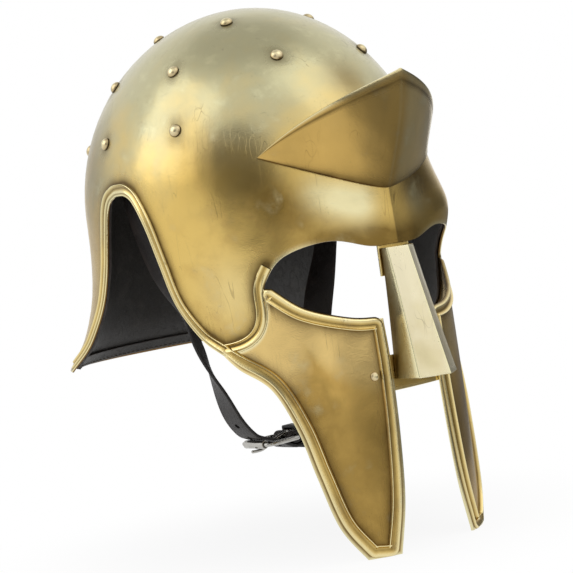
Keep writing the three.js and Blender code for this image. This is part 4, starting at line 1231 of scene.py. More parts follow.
@dataclass
class Bowl:
    """The beaten bowl with its brow, temples, ear arches, neck guard and raised borders."""

    looks: Finishes
    crease: float = 0.0011
    crease_angle: float = 3.2
    crease_top: float = 0.035
    crease_fade: float = 0.03
    rim_bulge: float = 0.00022
    stud_grime: float = 0.0062
    # Painted shade and painted dark reflections, listed by angle, height, reach and strength; the one at the
    # nasal bar's top also stands for blackened solder.
    patches: tuple[Patch, ...] = (
        (-62, 0.030, 0.020, 0.45), (-52, 0.012, 0.024, 0.35), (-42, 0.002, 0.019, 0.55),
        (-35, -0.014, 0.019, 0.85), (-27, -0.032, 0.011, 0.8), (-17, -0.035, 0.012, 1.1),
        (-8, -0.036, 0.012, 1.2), (9, -0.036, 0.011, 0.8), (-67, 0.062, 0.022, 0.25), (0, -0.040, 0.012, 1.1),
        (18, -0.010, 0.022, 0.8), (48, 0.010, 0.026, 0.6), (-2, 0.064, 0.016, 0.6),
        (10, 0.005, 0.020, 0.5), (75, 0.040, 0.030, 0.6), (110, 0.030, 0.035, 0.4), (-120, 0.045, 0.030, 0.4),
        (165, -0.020, 0.040, 0.5), (-160, 0.030, 0.030, 0.4))
    # Painted highlights, listed by angle, height, reach and strength.
    rubs: tuple[Patch, ...] = (
        (-12, -0.012, 0.011, 1.1), (-20, -0.008, 0.011, 1.0), (-27, -0.003, 0.009, 0.6),
        (14, -0.014, 0.010, 0.4), (-60, -0.056, 0.022, 0.35), (60, -0.056, 0.022, 0.35),
        (150, 0.050, 0.018, 0.3))
    shares: tuple[float, ...] = tuple(np.concatenate([
        np.linspace(0, 0.9, 30)[:-1], np.linspace(0.9, 1, 16)]).tolist())

    def rows(self, depth: float) -> Array:
        """Rows of points from the crown to the edge, a depth under the outer surface."""
        edge = OUTLINES.bowl_edge()
        shares = np.array(self.shares)[:, None]
        level = shares * SHELL.level_of(edge[:, 1])
        points = SHELL.inset(edge[:, 0], level, depth)
        angle = (edge[:, 0] + 180) % 360 - 180
        height = SHELL.height_of(level)
        fold = smooth_step((self.crease_top - height) / self.crease_fade)
        fold = fold * np.exp(-np.abs(angle) / self.crease_angle)
        return points - np.array([0, self.crease, 0]) * fold[..., None]

    @staticmethod
    def spread(table: Array, patches: Sequence[Patch]) -> Array:
        """Strength at each point of soft patches, listed by angle, height, reach and strength."""
        total = np.zeros(table.shape[:-1])
        for angle, height, reach, strength in patches:
            apart = np.linalg.norm(table - SHELL.point(angle, height), axis=-1)
            total += strength * falloff(apart, reach)
        return np.clip(total, 0, 1)

    @staticmethod
    def borders() -> list[Workpiece]:
        """Raised borders along both ear arches and down from the eyes' outer corners."""
        made = []
        for side in Side:
            made.append(BEAD.laid(f"arch_border_{side.word}", BEAD.rear()[1].on(side), (0.4, 1.5)))
            made.append(BEAD.laid(f"temple_border_{side.word}", BEAD.temple().on(side), (12, 2)))
        return made

    def build(self) -> None:
        """Makes the bowl."""
        outer, inner = self.rows(0), self.rows(LAYERS.brass)
        table = looped(folded(outer, inner, self.rim_bulge))
        tracks = (BEAD.rear()[1], BEAD.temple())
        lines = np.concatenate([track.on(side).points for track in tracks for side in Side])
        edges = SHELL.point(*OUTLINES.bowl_edge().T)
        studs = Studs(self.looks).points()
        grime = nearness(table, lines, BEAD.width * 0.7) * 1.3 + nearness(table, studs, self.stud_grime) * 0.8
        polish = nearness(table, edges, EDGE_WEAR)
        # Painted shade and painted dark reflections at the listed patches.
        smoke = self.spread(table, self.patches)
        # Rubbed edges, dimmed under the painted shade, together with the painted highlights.
        rubbed = np.maximum(polish * (1 - smoke), self.spread(table, self.rubs))
        inside = np.zeros(len(table))
        inside[len(outer) + 1:] = 1
        marks = {"grime": grime - polish, "polish": rubbed, "inside": inside[:, None], "smoke": smoke}
        bowl = Workpiece.laid("beaten_bowl", table, marks).close_up()
        bowl.join(self.borders()).smooth(40).finish(Body.HELMET, Slot.BRASS, self.looks.brass, "bowl")


@dataclass
class Frontlet:
    """Raised brow plate, a keeled crescent leaning out."""

    looks: Finishes
    angle: float = 43.0
    end_height: float = 0.023
    centre_depth: float = 0.005
    rise: float = 0.070
    standoff: float = 0.042
    thickness: float = 0.0013
    seat_gap: float = 0.0008
    top_keenness: float = 0.65
    prow_keenness: float = 0.9
    sweep: float = 1.3
    curl: float = 1.15
    columns: int = 96
    rows: int = 32

    def outline(self, u: Array, keenness: float) -> Array:
        """Height of the crescent across it, between a point and an arc."""
        return keenness * (1 - np.abs(u)) + (1 - keenness) * (1 - u * u)

    def outside(self, u: Array, v: Array) -> Array:
        """Points of its outside.

        Args:
            u: places across it, from -1 to 1.
            v: places up it, from 0 to 1.

        Returns:
            An array of points.
        """
        seat = self.thickness + self.seat_gap
        angle = u * self.angle
        low = lerp(-self.centre_depth, self.end_height, np.abs(u) ** self.sweep)
        lift = self.rise * self.outline(u, self.top_keenness) * v
        base = SHELL.inset(angle, SHELL.level_of(low), -seat)
        wall = SHELL.inset(angle, SHELL.level_of(low + lift), -seat)
        proud = self.standoff * self.outline(u, self.prow_keenness) * v**self.curl
        x = wall[..., 0] + np.sin(angle * DEGREE) * proud
        y = wall[..., 1] - np.cos(angle * DEGREE) * proud
        return np.stack([x, y, base[..., 2] + lift], axis=-1)

    def build(self) -> None:
        """Makes the plate."""
        u, v = np.meshgrid(np.linspace(-1, 1, self.columns + 1), np.linspace(0, 1, self.rows + 1))
        rim, keel = smooth_step((v - 0.95) / 0.05), falloff(u, 0.012)
        marks = {
            # Rubbed upper rim and keel, and a painted highlight over the half on the wearer's left.
            "polish": np.maximum(rim, keel * 0.2 + smooth_step(u / 0.12) * 0.45),
            "warm": 0.85,
            # Painted shade at the end on the wearer's right.
            "smoke": falloff(u + 0.75, 0.35) * 0.4,
            # Darker along the foot and in a band just under the rim.
            "grime": np.exp(-(v / 0.05)) * 0.8 + falloff(v - 0.9, 0.025) * 0.75,
        }
        plate = Workpiece.laid("brow_plate", self.outside(u, v), marks).face_from((0, 0.1, 0.02))
        plate.thicken(self.thickness).round_edges().smooth(32)
        plate.finish(Body.HELMET, Slot.BRASS, self.looks.brass, "frontlet")


@dataclass
class NoseGuard:
    """Keeled nasal bar, the tang that carries its top and the bridge behind its foot."""

    looks: Finishes
    top: float = 0.041
    bottom: float = 0.121
    top_reach: float = 0.134
    bottom_reach: float = 0.156
    top_half: float = 0.012
    bottom_half: float = 0.0175
    fold_top: float = 0.007
    fold_bottom: float = 0.011
    thickness: float = 0.0016
    flare: float = 1.4
    rows: int = 28
    columns: int = 30
    strip_rows: int = 22
    strip_columns: int = 44
    wall_from: float = 0.94
    side_shares: tuple[float, ...] = (1, 0.94, 0.5, 0, -0.5, -0.94, -1)
    fold_shares: tuple[float, ...] = (1, 1, 0.48, 0, 0.48, 1, 1)
    tang_half: float = 0.0135
    tang_heights: Pair = (-0.016, -0.058)
    bridge_heights: Pair = (-0.106, -0.128)
    rivet_radius: float = 0.003
    rivet_head: float = 0.0016
    shank_radius: float = 0.0015

    def back_reach(self, half: float, height: float) -> float:
        """Reach of the bar's back edge, on the strip behind it."""
        angle = SHELL.angle_across(half, height)
        inset = SHELL.inset(angle, SHELL.level_of(height), LAYERS.brass + LAYERS.gap)
        return float(-inset[1]) + 2 * LAYERS.gap

    def bar(self) -> None:
        """Makes the bar from one folded sheet."""
        t = np.linspace(0, 1, self.rows + 1)[:, None]
        listed = np.linspace(0, len(self.side_shares) - 1, self.columns + 1)
        side, fold = (np.interp(listed, range(len(s)), s) for s in (self.side_shares, self.fold_shares))
        half = lerp(self.top_half, self.bottom_half, t**self.flare)
        front = fold * lerp(self.fold_top, self.fold_bottom, t) - lerp(self.top_reach, self.bottom_reach, t)
        ends = (self.back_reach(self.top_half, -self.top), self.back_reach(self.bottom_half, -self.bottom))
        back = -lerp(*ends, t)
        wall = np.clip((np.abs(side) - self.wall_from) / (1 - self.wall_from), 0, 1)
        y = lerp(front, back, wall)
        height = np.broadcast_to(-lerp(self.top, self.bottom, t), y.shape)
        table = np.stack([half * side, y, height], axis=-1)
        tips = np.exp(-t / 0.03) + np.exp(-(1 - t) / 0.03)
        keel = falloff(side, 0.04) + falloff(np.abs(side) - self.wall_from, 0.03)
        marks = {
            "polish": np.clip(keel * 0.8 + tips * 0.4, 0, 1),
            # Painted shade on the side walls, which reach back to the face: both darkening marks cover them.
            "grime": wall * 0.4,
            "smoke": np.clip(wall * 4, 0, 1) * 0.9,
        }
        bar = Workpiece.laid("nasal_bar", table, marks).face_from((0, 0, -0.08))
        bar.thicken(self.thickness).round_edges(SOFT_EDGE, 3, 24).smooth(30)
        bar.finish(Body.HELMET, Slot.BRIGHT_BRASS, self.looks.bright, "nasal_guard")

    def strip(self, name: str, half_angle: float, heights: Pair, depth: float, node: str) -> None:
        """Makes a strip on the inside of the face.

        Args:
            name: the piece's name.
            half_angle: half of the angle that it spans.
            heights: its upper and lower ends.
            depth: depth of its outer face under the shell.
            node: the node that it stands for.
        """
        angle = np.linspace(-half_angle, half_angle, self.strip_columns + 1)
        height = np.linspace(*heights, self.strip_rows + 1)[:, None]
        table = SHELL.inset(angle, SHELL.level_of(height), depth)
        ends = nearness(table, rim_of(table), 0.0015)
        strip = Workpiece.laid(name, table, {"polish": ends * 0.5, "grime": 0.25 - 0.25 * ends})
        strip.face_from((0, 0, heights[0])).thicken(LAYERS.brass).round_edges().smooth(35)
        strip.finish(Body.HELMET, Slot.BRASS, self.looks.brass, node)

    def rivet_x(self) -> float:
        """Distance of the bridge's rivets from the middle."""
        return float(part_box("bridge_rivet_left")[0][0] + self.rivet_radius)

    def build(self) -> None:
        """Makes the bar, its two strips and the bridge's rivets."""
        self.bar()
        tang = SHELL.angle_across(self.tang_half, -OUTLINES.eye_line)
        self.strip("nasal_tang_plate", tang, self.tang_heights, LAYERS.lining_inset, "nasal_tang")
        reach = SHELL.angle_across(self.rivet_x() + 2 * self.rivet_radius, self.bridge_heights[0])
        inside = LAYERS.brass + LAYERS.gap
        self.strip("nasal_bridge_plate", reach, self.bridge_heights, inside, "nasal_bridge")
        height = sum(self.bridge_heights) / 2
        shank = 2 * LAYERS.brass + 4 * LAYERS.gap
        pattern = Studs.drawn("rivet_pattern", self.rivet_radius, self.rivet_head, self.shank_radius, shank)
        for side in Side:
            angle = side.value * SHELL.angle_across(self.rivet_x(), height)
            pattern.twin(f"cheek_rivet_{side.word}", seated(angle, SHELL.level_of(height))).finish(
                Body.HELMET, Slot.BRIGHT_BRASS, self.looks.bright, f"bridge_rivet_{side.word}")
        pattern.discard()


@dataclass
class CheekGuard:
    """One long cheek guard with its raised border."""

    looks: Finishes
    side: Side
    columns: int = 60
    rows: int = 96
    smoke: float = 0.7
    smoke_from: float = 0.25
    smoke_fade: float = 0.3

    def place(self, u: Amount, v: Amount) -> Array:
        """Points of the guard's outer surface at shares across and down it."""
        spot = OUTLINES.cheek_place(u, v)
        return SHELL.inset(self.side.value * spot[..., 0], SHELL.level_of(spot[..., 1]), 0)

    def border(self) -> Track:
        """The border's line: along the top, down the front, round the tip and up the rear."""
        down = np.linspace(0, 1, 50)
        width = np.linalg.norm(self.place(0, down) - self.place(1, down), axis=1)
        length = float(np.linalg.norm(self.place(0.5, 0) - self.place(0.5, 1)))
        high, low = BEAD.inset / length, 1 - BEAD.inset / length
        u = np.concatenate([np.linspace(0.72, 0, 50)[:-1], np.zeros(99), np.linspace(0, 1, 30)[:-1]])
        v = np.concatenate([np.full(49, high), np.linspace(high, low, 100)[:-1], np.full(29, low)])
        margin = BEAD.inset / np.interp(v, down, width)
        spot = OUTLINES.cheek_place(margin + u * (1 - 2 * margin), v)
        level, rear = SHELL.level_of(spot[:, 1]), BEAD.rear()[0]
        points = np.concatenate([SHELL.inset(spot[:, 0], level, 0), rear.points])
        normals = np.concatenate([SHELL.normal(spot[:, 0], level), rear.normals])
        size = np.concatenate([np.ones(len(spot)), rear.size])
        return Track.over(points, normals, size).rounded(3).on(self.side)

    @staticmethod
    def level_tip(piece: Workpiece) -> None:
        """Takes the lower end off level."""
        piece.edit()
        bpy.ops.mesh.bisect(
            plane_co=(0, 0, -SHELL.cheek_depth), plane_no=(0, 0, -1), clear_outer=True, use_fill=True)
        bpy.ops.object.mode_set(mode="OBJECT")

    def build(self) -> None:
        """Makes the guard."""
        word = self.side.word
        u, v = np.meshgrid(np.linspace(0, 1, self.columns + 1), np.linspace(0, 1, self.rows + 1))
        table = self.place(u, v)
        track = self.border()
        border = BEAD.laid(f"cheek_border_{word}", track, (5, 0.4))
        self.level_tip(border)
        polish = nearness(table, rim_of(table), EDGE_WEAR)
        # Painted shade, deepening from a quarter of the way down towards the tip.
        smoke = smooth_step((v - self.smoke_from) / self.smoke_fade) * self.smoke
        grime = nearness(table, track.points, BEAD.width * 0.68) * 1.1 - polish
        # Rubbed edges, and a painted highlight over the upper part that fades where the painted shade comes
        # in.
        marks = {"polish": np.maximum(polish, 0.25 - smoke), "grime": grime, "smoke": smoke, "warm": 0.8}
        guard = Workpiece.laid(f"cheek_plate_{word}", table, marks).face_from((0, 0, -0.15))
        guard.thicken(LAYERS.brass)
        self.level_tip(guard)
        guard.round_edges(EDGE, 2).join([border]).smooth(40)
        guard.finish(Body.HELMET, Slot.BRASS, self.looks.brass, f"cheek_guard_{word}")


# Leather


@dataclass
class Stitching:
    """Hand-sewn stitches along lines of points."""

    looks: Finishes
    pitch: float = 0.0042
    length: float = 0.0029
    radius: float = 0.00042
    lift: float = 0.35

    def sewn(self, name: str, body: Body, slot: Slot, lines: Sequence[tuple[Array, Array]]) -> None:
        """Sews one piece of stitches.

        Args:
            name: the piece's name.
            body: the body that it rides on.
            slot: the material slot.
            lines: points and outward directions of each line.
        """
        pattern = Workpiece.added("stitch_pattern", "uv_sphere", segments=8, ring_count=6, radius=self.radius)
        pattern.edit()
        bpy.ops.transform.resize(value=(1, 1, self.length / (2 * self.radius)), center_override=(0, 0, 0))
        Workpiece.clear()
        made = []
        for points, outward in lines:
            run = travelled(points)
            stops = np.arange(self.pitch / 2, run[-1], self.pitch)
            spots, outs = (
                np.stack([np.interp(stops, run, axis) for axis in row.T], axis=1)
                for row in (points, outward))
            for spot, out in zip(spots, unit(outs)):
                near = int(np.argmin(np.linalg.norm(points - spot, axis=1)))
                ahead, behind = points[min(near + 1, len(points) - 1)], points[max(near - 1, 0)]
                matrix = aim(spot + out * self.radius * self.lift, unit(ahead - behind))
                made.append(pattern.twin(f"stitch_{len(made)}", matrix))
        made[0].join(made[1:]).smooth(60).rename(name).finish(body, slot, self.looks.thread)
        pattern.discard()


@dataclass
class Liner:
    """The leather inside: lining, hem, headband, crown tabs and the lace that gathers them."""

    looks: Finishes
    margin: float = 0.003
    hem_height: float = 0.007
    hem_end_angle: float = 3.0
    band_heights: Pair = (0.046, 0.018)
    tab_heights: Pair = (0.038, 0.112)
    tab_angle: float = 42.0
    tab_middles: tuple[float, ...] = (0, 52, 132, 180, 228, 308)
    tab_widths: Pair = (1.0, 0.82)
    tab_drop: float = 0.009
    lace_radius: float = 0.0015
    notch_size: Triple = (0.028, 0.041, 0.105)
    notch_height: float = -0.0675
    edge_seam: float = 0.0028
    hem_seam: float = 0.0014
    band_seam: float = 0.003
    lace_turns: int = 30

    def lining(self) -> None:
        """Makes the lining, with its front edge cut round the nasal bar's tang."""
        edge = OUTLINES.bowl_edge()
        shares = np.concatenate([np.linspace(0, 0.9, 26)[:-1], np.linspace(0.9, 1, 9)])[:, None]
        level = np.minimum(shares * SHELL.level_of(edge[:, 1]), SHELL.level_of(edge[:, 1] + self.margin))
        outer, inner = (SHELL.inset(edge[:, 0], level, LAYERS.lining_inset + d) for d in (0, LAYERS.lining))
        table = looped(folded(outer, inner, EDGE))
        rim = nearness(table, (outer[-1] + inner[-1]) / 2, 0.0014)
        marks = {"rim": rim, "wear": nearness(table, inner[-1], 0.006) * 0.5}
        lining = Workpiece.laid("leather_lining", table, marks).close_up()
        notch = Workpiece.block("tang_notch", (0, -SHELL.front_reach, self.notch_height), self.notch_size)
        lining.cut(notch).smooth()
        lining.finish(Body.HELMET, Slot.BLACK_LEATHER, self.looks.lining, "bowl_lining")

    def hem(self) -> Array:
        """Makes the band along the neck guard's inside, and gives its angles."""
        edge = OUTLINES.bowl_edge()
        start = edge[np.argmax(edge[:, 1] <= -SHELL.neck_depth), 0] + self.hem_end_angle
        angle = np.linspace(start, 360 - start, 181)
        low = -SHELL.neck_depth + self.margin
        height = np.linspace(low + self.hem_height, low, 9)[:, None]
        table = SHELL.inset(angle, SHELL.level_of(height), LAYERS.hem_inset)
        across = np.abs(np.linspace(-1, 1, 9))[:, None]
        marks = {"rim": across**8, "wear": across**4 * 0.5}
        hem = Workpiece.laid("neck_hem_band", table, marks).face_from((0, 0.02, -0.09))
        hem.thicken(LAYERS.hem).round_edges().smooth()
        hem.finish(Body.HELMET, Slot.BLACK_LEATHER, self.looks.lining, "neck_hem")
        return angle

    def headband(self) -> None:
        """Makes the headband as one closed loop."""
        angle = np.linspace(0, 360, 241)[:-1]
        level = SHELL.level_of(np.linspace(*self.band_heights, 17))[:, None]
        outer, inner = (SHELL.inset(angle, level, LAYERS.band_inset + d) for d in (0, LAYERS.headband))
        wall = folded(outer, inner, SOFT_EDGE)
        over = unit(outer[0] + inner[0] - outer[1] - inner[1])
        crest = (outer[0] + inner[0]) / 2 + over * SOFT_EDGE
        table = looped(np.concatenate([wall, crest[None], wall[:1]]))
        rims = np.concatenate([outer[0], outer[-1], inner[0], inner[-1]])
        marks = {"rim": nearness(table, crest, 0.0012), "wear": nearness(table, rims, 0.003) * 0.6}
        band = Workpiece.laid("sweat_band", table, marks).close_up().smooth(60)
        band.finish(Body.HELMET, Slot.BROWN_LEATHER, self.looks.band, "headband")

    def tab_table(self, middle: float) -> tuple[Array, dict[str, Array]]:
        """Points of a crown tab's outside, and its marks."""
        t = np.linspace(0, 1, 41)[:, None]
        across = np.linspace(-1, 1, 33)[None, :]
        height = lerp(*self.tab_heights, t)
        half = self.tab_angle / 2 * lerp(*self.tab_widths, t)
        depth = LAYERS.tab_inset + self.tab_drop * t
        level = SHELL.level_of(height)
        angle = middle + half * across
        table = SHELL.inset(angle, level, 0) - SHELL.normal(angle, level) * depth[..., None]
        rim = np.maximum(np.abs(across) ** 24, t**24)
        return table, {"rim": rim, "wear": np.maximum(np.abs(across) ** 8, t**6) * 0.7}

    def tabs(self) -> None:
        """Makes the six crown tabs."""
        for k, middle in enumerate(self.tab_middles):
            table, marks = self.tab_table(middle)
            tab = Workpiece.laid(f"crown_leaf_{k + 1}", table, marks).face_from((0, 0, 0))
            tab.thicken(LAYERS.tab).round_edges(SOFT_EDGE).smooth()
            tab.finish(Body.HELMET, Slot.BROWN_LEATHER, self.looks.band, f"crown_tab_{k + 1}")

    def lace(self) -> None:
        """Makes the lace, twisted from two strands, as a ring against the tabs."""
        turn = np.linspace(0, 360, 361)[:-1]
        level = SHELL.level_of(self.tab_heights[1] - 3 * self.lace_radius)
        depth = LAYERS.tab_inset + self.tab_drop + LAYERS.tab + LAYERS.gap + self.lace_radius
        points = SHELL.inset(turn, level, depth)
        normals = SHELL.normal(turn, level)
        along = unit(np.roll(points, -1, axis=0) - np.roll(points, 1, axis=0))
        across = np.cross(normals, along)
        round_about = np.linspace(0, 2 * math.pi, 17)[:-1]
        lay = turn * DEGREE * self.lace_turns
        swell = self.lace_radius * (0.86 + 0.14 * np.cos(2 * (round_about - lay[:, None])))
        section = np.stack([swell * np.cos(round_about), swell * np.sin(round_about)], axis=-1)
        table = swept(points, across, normals, section, True)
        lace = Workpiece.laid("gathering_lace", table, {"rim": 0, "wear": 0.3}).close_up().smooth(60)
        lace.finish(Body.HELMET, Slot.BLACK_LEATHER, self.looks.lining, "crown_lace")

    @staticmethod
    def stitch_line(angle: Array, height: Amount, depth: float) -> tuple[Array, Array]:
        """Points of a line of stitches on the leather's inside, and the way that they stand out."""
        level = SHELL.level_of(height)
        return SHELL.inset(angle, level, depth), -SHELL.normal(angle, level)

    def stitches(self, hem_angles: Array) -> None:
        """Sews the lining's edge, the hem and the headband."""
        lines = []
        arch = OUTLINES.ear_arch().run(150)
        for side in Side:
            edge = mirrored(arch, side)[3:-3]
            points, out = self.stitch_line(edge[:, 0], edge[:, 1], LAYERS.lining_inset + LAYERS.lining)
            inward = unit(np.cross(-out, np.gradient(points, axis=0)))
            lines.append((points + inward * (self.margin + self.edge_seam), out))
        height = -SHELL.neck_depth + self.margin + self.hem_seam
        lines.append(self.stitch_line(hem_angles, height, LAYERS.hem_inset + LAYERS.hem))
        sewing = Stitching(self.looks)
        sewing.sewn("lining_stitches", Body.HELMET, Slot.BLACK_LEATHER, lines)
        height = self.band_heights[1] + self.band_seam
        band = self.stitch_line(np.linspace(0, 360, 200), height, LAYERS.band_inset + LAYERS.headband)
        sewing.sewn("headband_stitches", Body.HELMET, Slot.BROWN_LEATHER, [band])

    def build(self) -> None:
        """Makes the whole liner."""
        self.lining()
        angles = self.hem()
        self.headband()
        self.tabs()
        self.lace()
        self.stitches(angles)


@dataclass(frozen=True)
class Route:
    """A smooth route in the chin strap's plane, through points of X and height."""

    points: tuple[Pair, ...]
    back: float

    def run(self, count: int) -> Array:
        """Points along the route, count spans of them."""
        listed = np.array(self.points)
        first, last = 2 * listed[0] - listed[1], 2 * listed[-1] - listed[-2]
        p = np.concatenate([[first], listed, [last]])
        place = np.linspace(0, 1, count + 1) * (len(listed) - 1)
        k = np.minimum(place.astype(int), len(listed) - 2)
        w = (place - k)[:, None]
        p0, p1, p2, p3 = p[k], p[k + 1], p[k + 2], p[k + 3]
        pairs = ((p0, p1), (p1, p2), (p2, p3))
        d0, d1, d2 = (np.sqrt(np.linalg.norm(b - a, axis=1))[:, None] for a, b in pairs)
        t1 = ((p1 - p0) / d0 - (p2 - p0) / (d0 + d1) + (p2 - p1) / d1) * d1
        t2 = ((p2 - p1) / d1 - (p3 - p1) / (d1 + d2) + (p3 - p2) / d2) * d1
        flat = p1 + t1 * w + (3 * (p2 - p1) - 2 * t1 - t2) * w**2 + (2 * (p1 - p2) + t1 + t2) * w**3
        return np.stack([flat[:, 0], np.full(count + 1, self.back), flat[:, 1]], axis=1)

    def frames(self, count: int, twist: Callable[[Array], Array]) -> tuple[Array, ...]:
        """Points, across and outward directions, and shares of the length, along the route.

        Args:
            count: spans along it.
            twist: the turn about the route in degrees at each share.

        Returns:
            Four arrays.
        """
        points = self.run(count)
        share = travelled(points)
        share = share / share[-1]
        k = np.arange(count + 1)
        along = unit(points[np.minimum(k + 1, count)] - points[np.maximum(k - 1, 0)])
        turn = (twist(share) * DEGREE)[:, None]
        y = np.array([0.0, 1.0, 0.0])
        across = np.cos(turn) * y + np.sin(turn) * np.cross(along, y)
        return points, across, unit(np.cross(along, across)), share


@dataclass
class ChinStrap:
    """Both halves of the chin strap with the keeper, their rivets and their spacers."""

    looks: Finishes
    width: float = 0.020
    thickness: float = 0.0024
    back: float = 0.022
    top_height: float = 0.033
    top_margin: float = 0.007
    depth: float = 0.164
    twist: float = 48.0
    twist_place: float = 0.5
    twist_spread: float = 0.13
    spacer_radius: float = 0.0046
    spacer_height: float = 0.003
    rivet_radius: float = 0.0042
    rivet_head: float = 0.0016
    shank_radius: float = 0.002
    half_buckle: float = 0.014
    wire: float = 0.0016
    roller: float = 0.00285
    play: float = 0.00035
    corner: float = 0.003
    soft: float = 0.0007
    groove_depth: float = 0.00022
    groove_margin: float = 0.0022
    groove_width: float = 0.0005
    face_fall: float = 0.0001
    spans: tuple[int, int] = (300, 380)
    prong_slot: Triple = (0.014, 0.004, 0.0104)
    fold_slot_width: float = 0.007
    fold_seams: tuple[Pair, Pair] = ((1.25, 1.36), (2.25, 2.4))
    fold_seam_half: float = 0.42
    fold_seam_points: int = 25
    spare_holes: tuple[float, ...] = (0.68, 0.6, 0.52)
    hole_radius: float = 0.002
    punch_length: float = 0.008
    keeper_thickness: float = 0.0016
    keeper_bend: float = 0.0014
    hang_right: tuple[Pair, ...] = (
        (1, 0.1), (0.96, 0.2), (0.84, 0.38), (0.64, 0.57), (0.47, 0.76), (0.34, 0.9))
    hang_left: tuple[Pair, ...] = (
        (1, 0.1), (0.96, 0.2), (0.84, 0.38), (0.68, 0.57), (0.56, 0.76), (0.47, 0.9))

    @property
    def lap(self) -> float:
        """Distance between two layers of strap."""
        return self.thickness + LAYERS.gap

    @property
    def turn_radius(self) -> float:
        """Radius of the strap's fold round the buckle's bar."""
        return self.wire + LAYERS.gap + self.thickness / 2

    def wall_x(self, back: float, height: float, depth: float) -> float:
        """Distance of a layer from the middle, at a Y and a height."""
        level = SHELL.level_of(height)
        return float(SHELL.inset(SHELL.angle_of(back, height), level, depth)[0])

    @property
    def top_x(self) -> float:
        """Distance of the straps' upper ends from the middle."""
        radius = self.spacer_radius
        seat = self.wall_x(self.back + radius, self.top_height + radius, LAYERS.tab_inset)
        return seat - self.spacer_height - LAYERS.gap - self.thickness / 2

    def hang(self, side: Side, shares: tuple[Pair, ...]) -> list[Pair]:
        """Points of a strap's free hang."""
        drop, x = self.top_height + self.depth, side.value * self.top_x
        start = [(x, self.top_height + self.top_margin), (x, self.top_height)]
        return start + [(x * a, self.top_height - share * drop) for a, share in shares]

    def near_buckle(self, x: float, height: float) -> Pair:
        """Point given from the buckle's middle."""
        return (x, height - self.depth)

    def right_route(self) -> Route:
        """Behind the roller, over the folded left strap and through the keeper."""
        half, behind = self.half_buckle, self.roller + LAYERS.gap + self.thickness / 2
        over = self.turn_radius + self.lap
        near = (
            (-half * 1.4, behind * 1.75), (-half, behind * 1.07), (0, 0), (half, -over * 1.06),
            (half * 1.6, -over * 0.78), (half * 2.15, -over * 0.55), (half * 2.9, -over * 0.1))
        points = self.hang(Side.RIGHT, self.hang_right) + [self.near_buckle(*p) for p in near]
        return Route(tuple(points), self.back)

    def left_route(self) -> Route:
        """Round the buckle's bar and back on itself."""
        half, lap, radius = self.half_buckle, self.lap, self.turn_radius
        turns = [a * DEGREE for a in (100, 145, 190, 235, 275)]
        near = (
            (half * 2.7, lap * 2.6), (half * 2.1, lap * 1.25), (half * 1.6, lap * 0.8),
            *((half + radius * math.cos(a), radius * math.sin(a)) for a in turns),
            (half * 1.6, -lap * 0.45), (half * 2.05, -lap * 0.2), (half * 2.4, lap * 0.25))
        points = self.hang(Side.LEFT, self.hang_left) + [self.near_buckle(*p) for p in near]
        return Route(tuple(points), self.back)

    def twist_at(self, side: Side) -> Callable[[Array], Array]:
        """The strap's turn about its route, by share of its length."""
        full = -side.value * self.twist
        return lambda share: full * falloff(share - self.twist_place, self.twist_spread)

    def section(self) -> tuple[Array, Array, Array]:
        """Section of the strap, and how much of each point is edge and is worn."""
        half, deep, soft = self.width / 2, self.thickness / 2, self.soft
        flat = np.linspace(-1, 1, 17)
        x = flat * (half - soft)
        groove = self.groove_depth * falloff(np.abs(x) - (half - self.groove_margin), self.groove_width)
        crown = deep - self.face_fall * flat**2 - groove
        arc = np.array([60, 30, 0, -30, -60]) * DEGREE
        round_x, round_y = half - soft + soft * np.cos(arc), deep * np.sin(arc) * 0.98
        points = np.concatenate([
            np.stack([x, crown], axis=1), np.stack([round_x, round_y], axis=1),
            np.stack([x, crown], axis=1)[::-1] * [1, -1], np.stack([-round_x, -round_y], axis=1)])
        rim = np.clip((np.abs(points[:, 0]) - (half - soft)) / soft * 1.6, 0, 1)
        wear = falloff(np.abs(points[:, 0]) - (half - 0.0008), 0.0006)
        return points, rim, wear

    def band(self, name: str, route: Route, side: Side, count: int) -> tuple[Workpiece, tuple[Array, ...]]:
        """A strap along its route, with a rounded end.

        Args:
            name: the piece's name.
            route: its route.
            side: the side that it hangs on.
            count: spans along it.

        Returns:
            The workpiece and its frames.
        """
        frames = route.frames(count, self.twist_at(side))
        points, across, normals, share = frames
        base, rim, wear = self.section()
        reach = travelled(points)
        left = np.minimum(reach, reach[-1] - reach)
        short = np.clip(1 - left / self.corner, 0, 1)
        narrow = 1 - (1 - np.sqrt(np.maximum(0, 1 - short**2))) * 2 * self.corner / self.width * 1.4
        thin = np.where(left < EDGE, 0.75, 1.0)
        section = base[None] * np.stack([narrow, thin], axis=1)[:, None]
        table = swept(points, across, normals, section)
        heading = np.unwrap(np.arctan2(*np.gradient(points[:, [0, 2]], axis=0).T))
        creased = np.clip(np.abs(np.gradient(heading, reach)) / 120, 0, 1)
        worn = np.clip(wear[None, :] * 0.8 + creased[:, None], 0, 1)
        worn = looped(np.concatenate([worn[:1], worn, worn[-1:]]))
        edge = np.tile(np.append(rim, rim[0]), (len(worn), 1))
        edge[[0, -1]] = 1
        marks = {"wear": worn, "rim": edge}
        strap = Workpiece.laid(name, table, marks).close_up()
        bore = self.shank_radius + self.play
        strap.cut(self.round_tool(side.value * self.top_x, self.top_height, (1, 0, 0), bore))
        return strap, frames

    def round_tool(self, x: float, height: float, along: Sequence[float], radius: float) -> Workpiece:
        """A punch for a round hole through the strap."""
        punch = Workpiece.added("punch", "cylinder", vertices=32, radius=radius, depth=self.punch_length)
        return punch.place(aim((x, self.back, height), along))

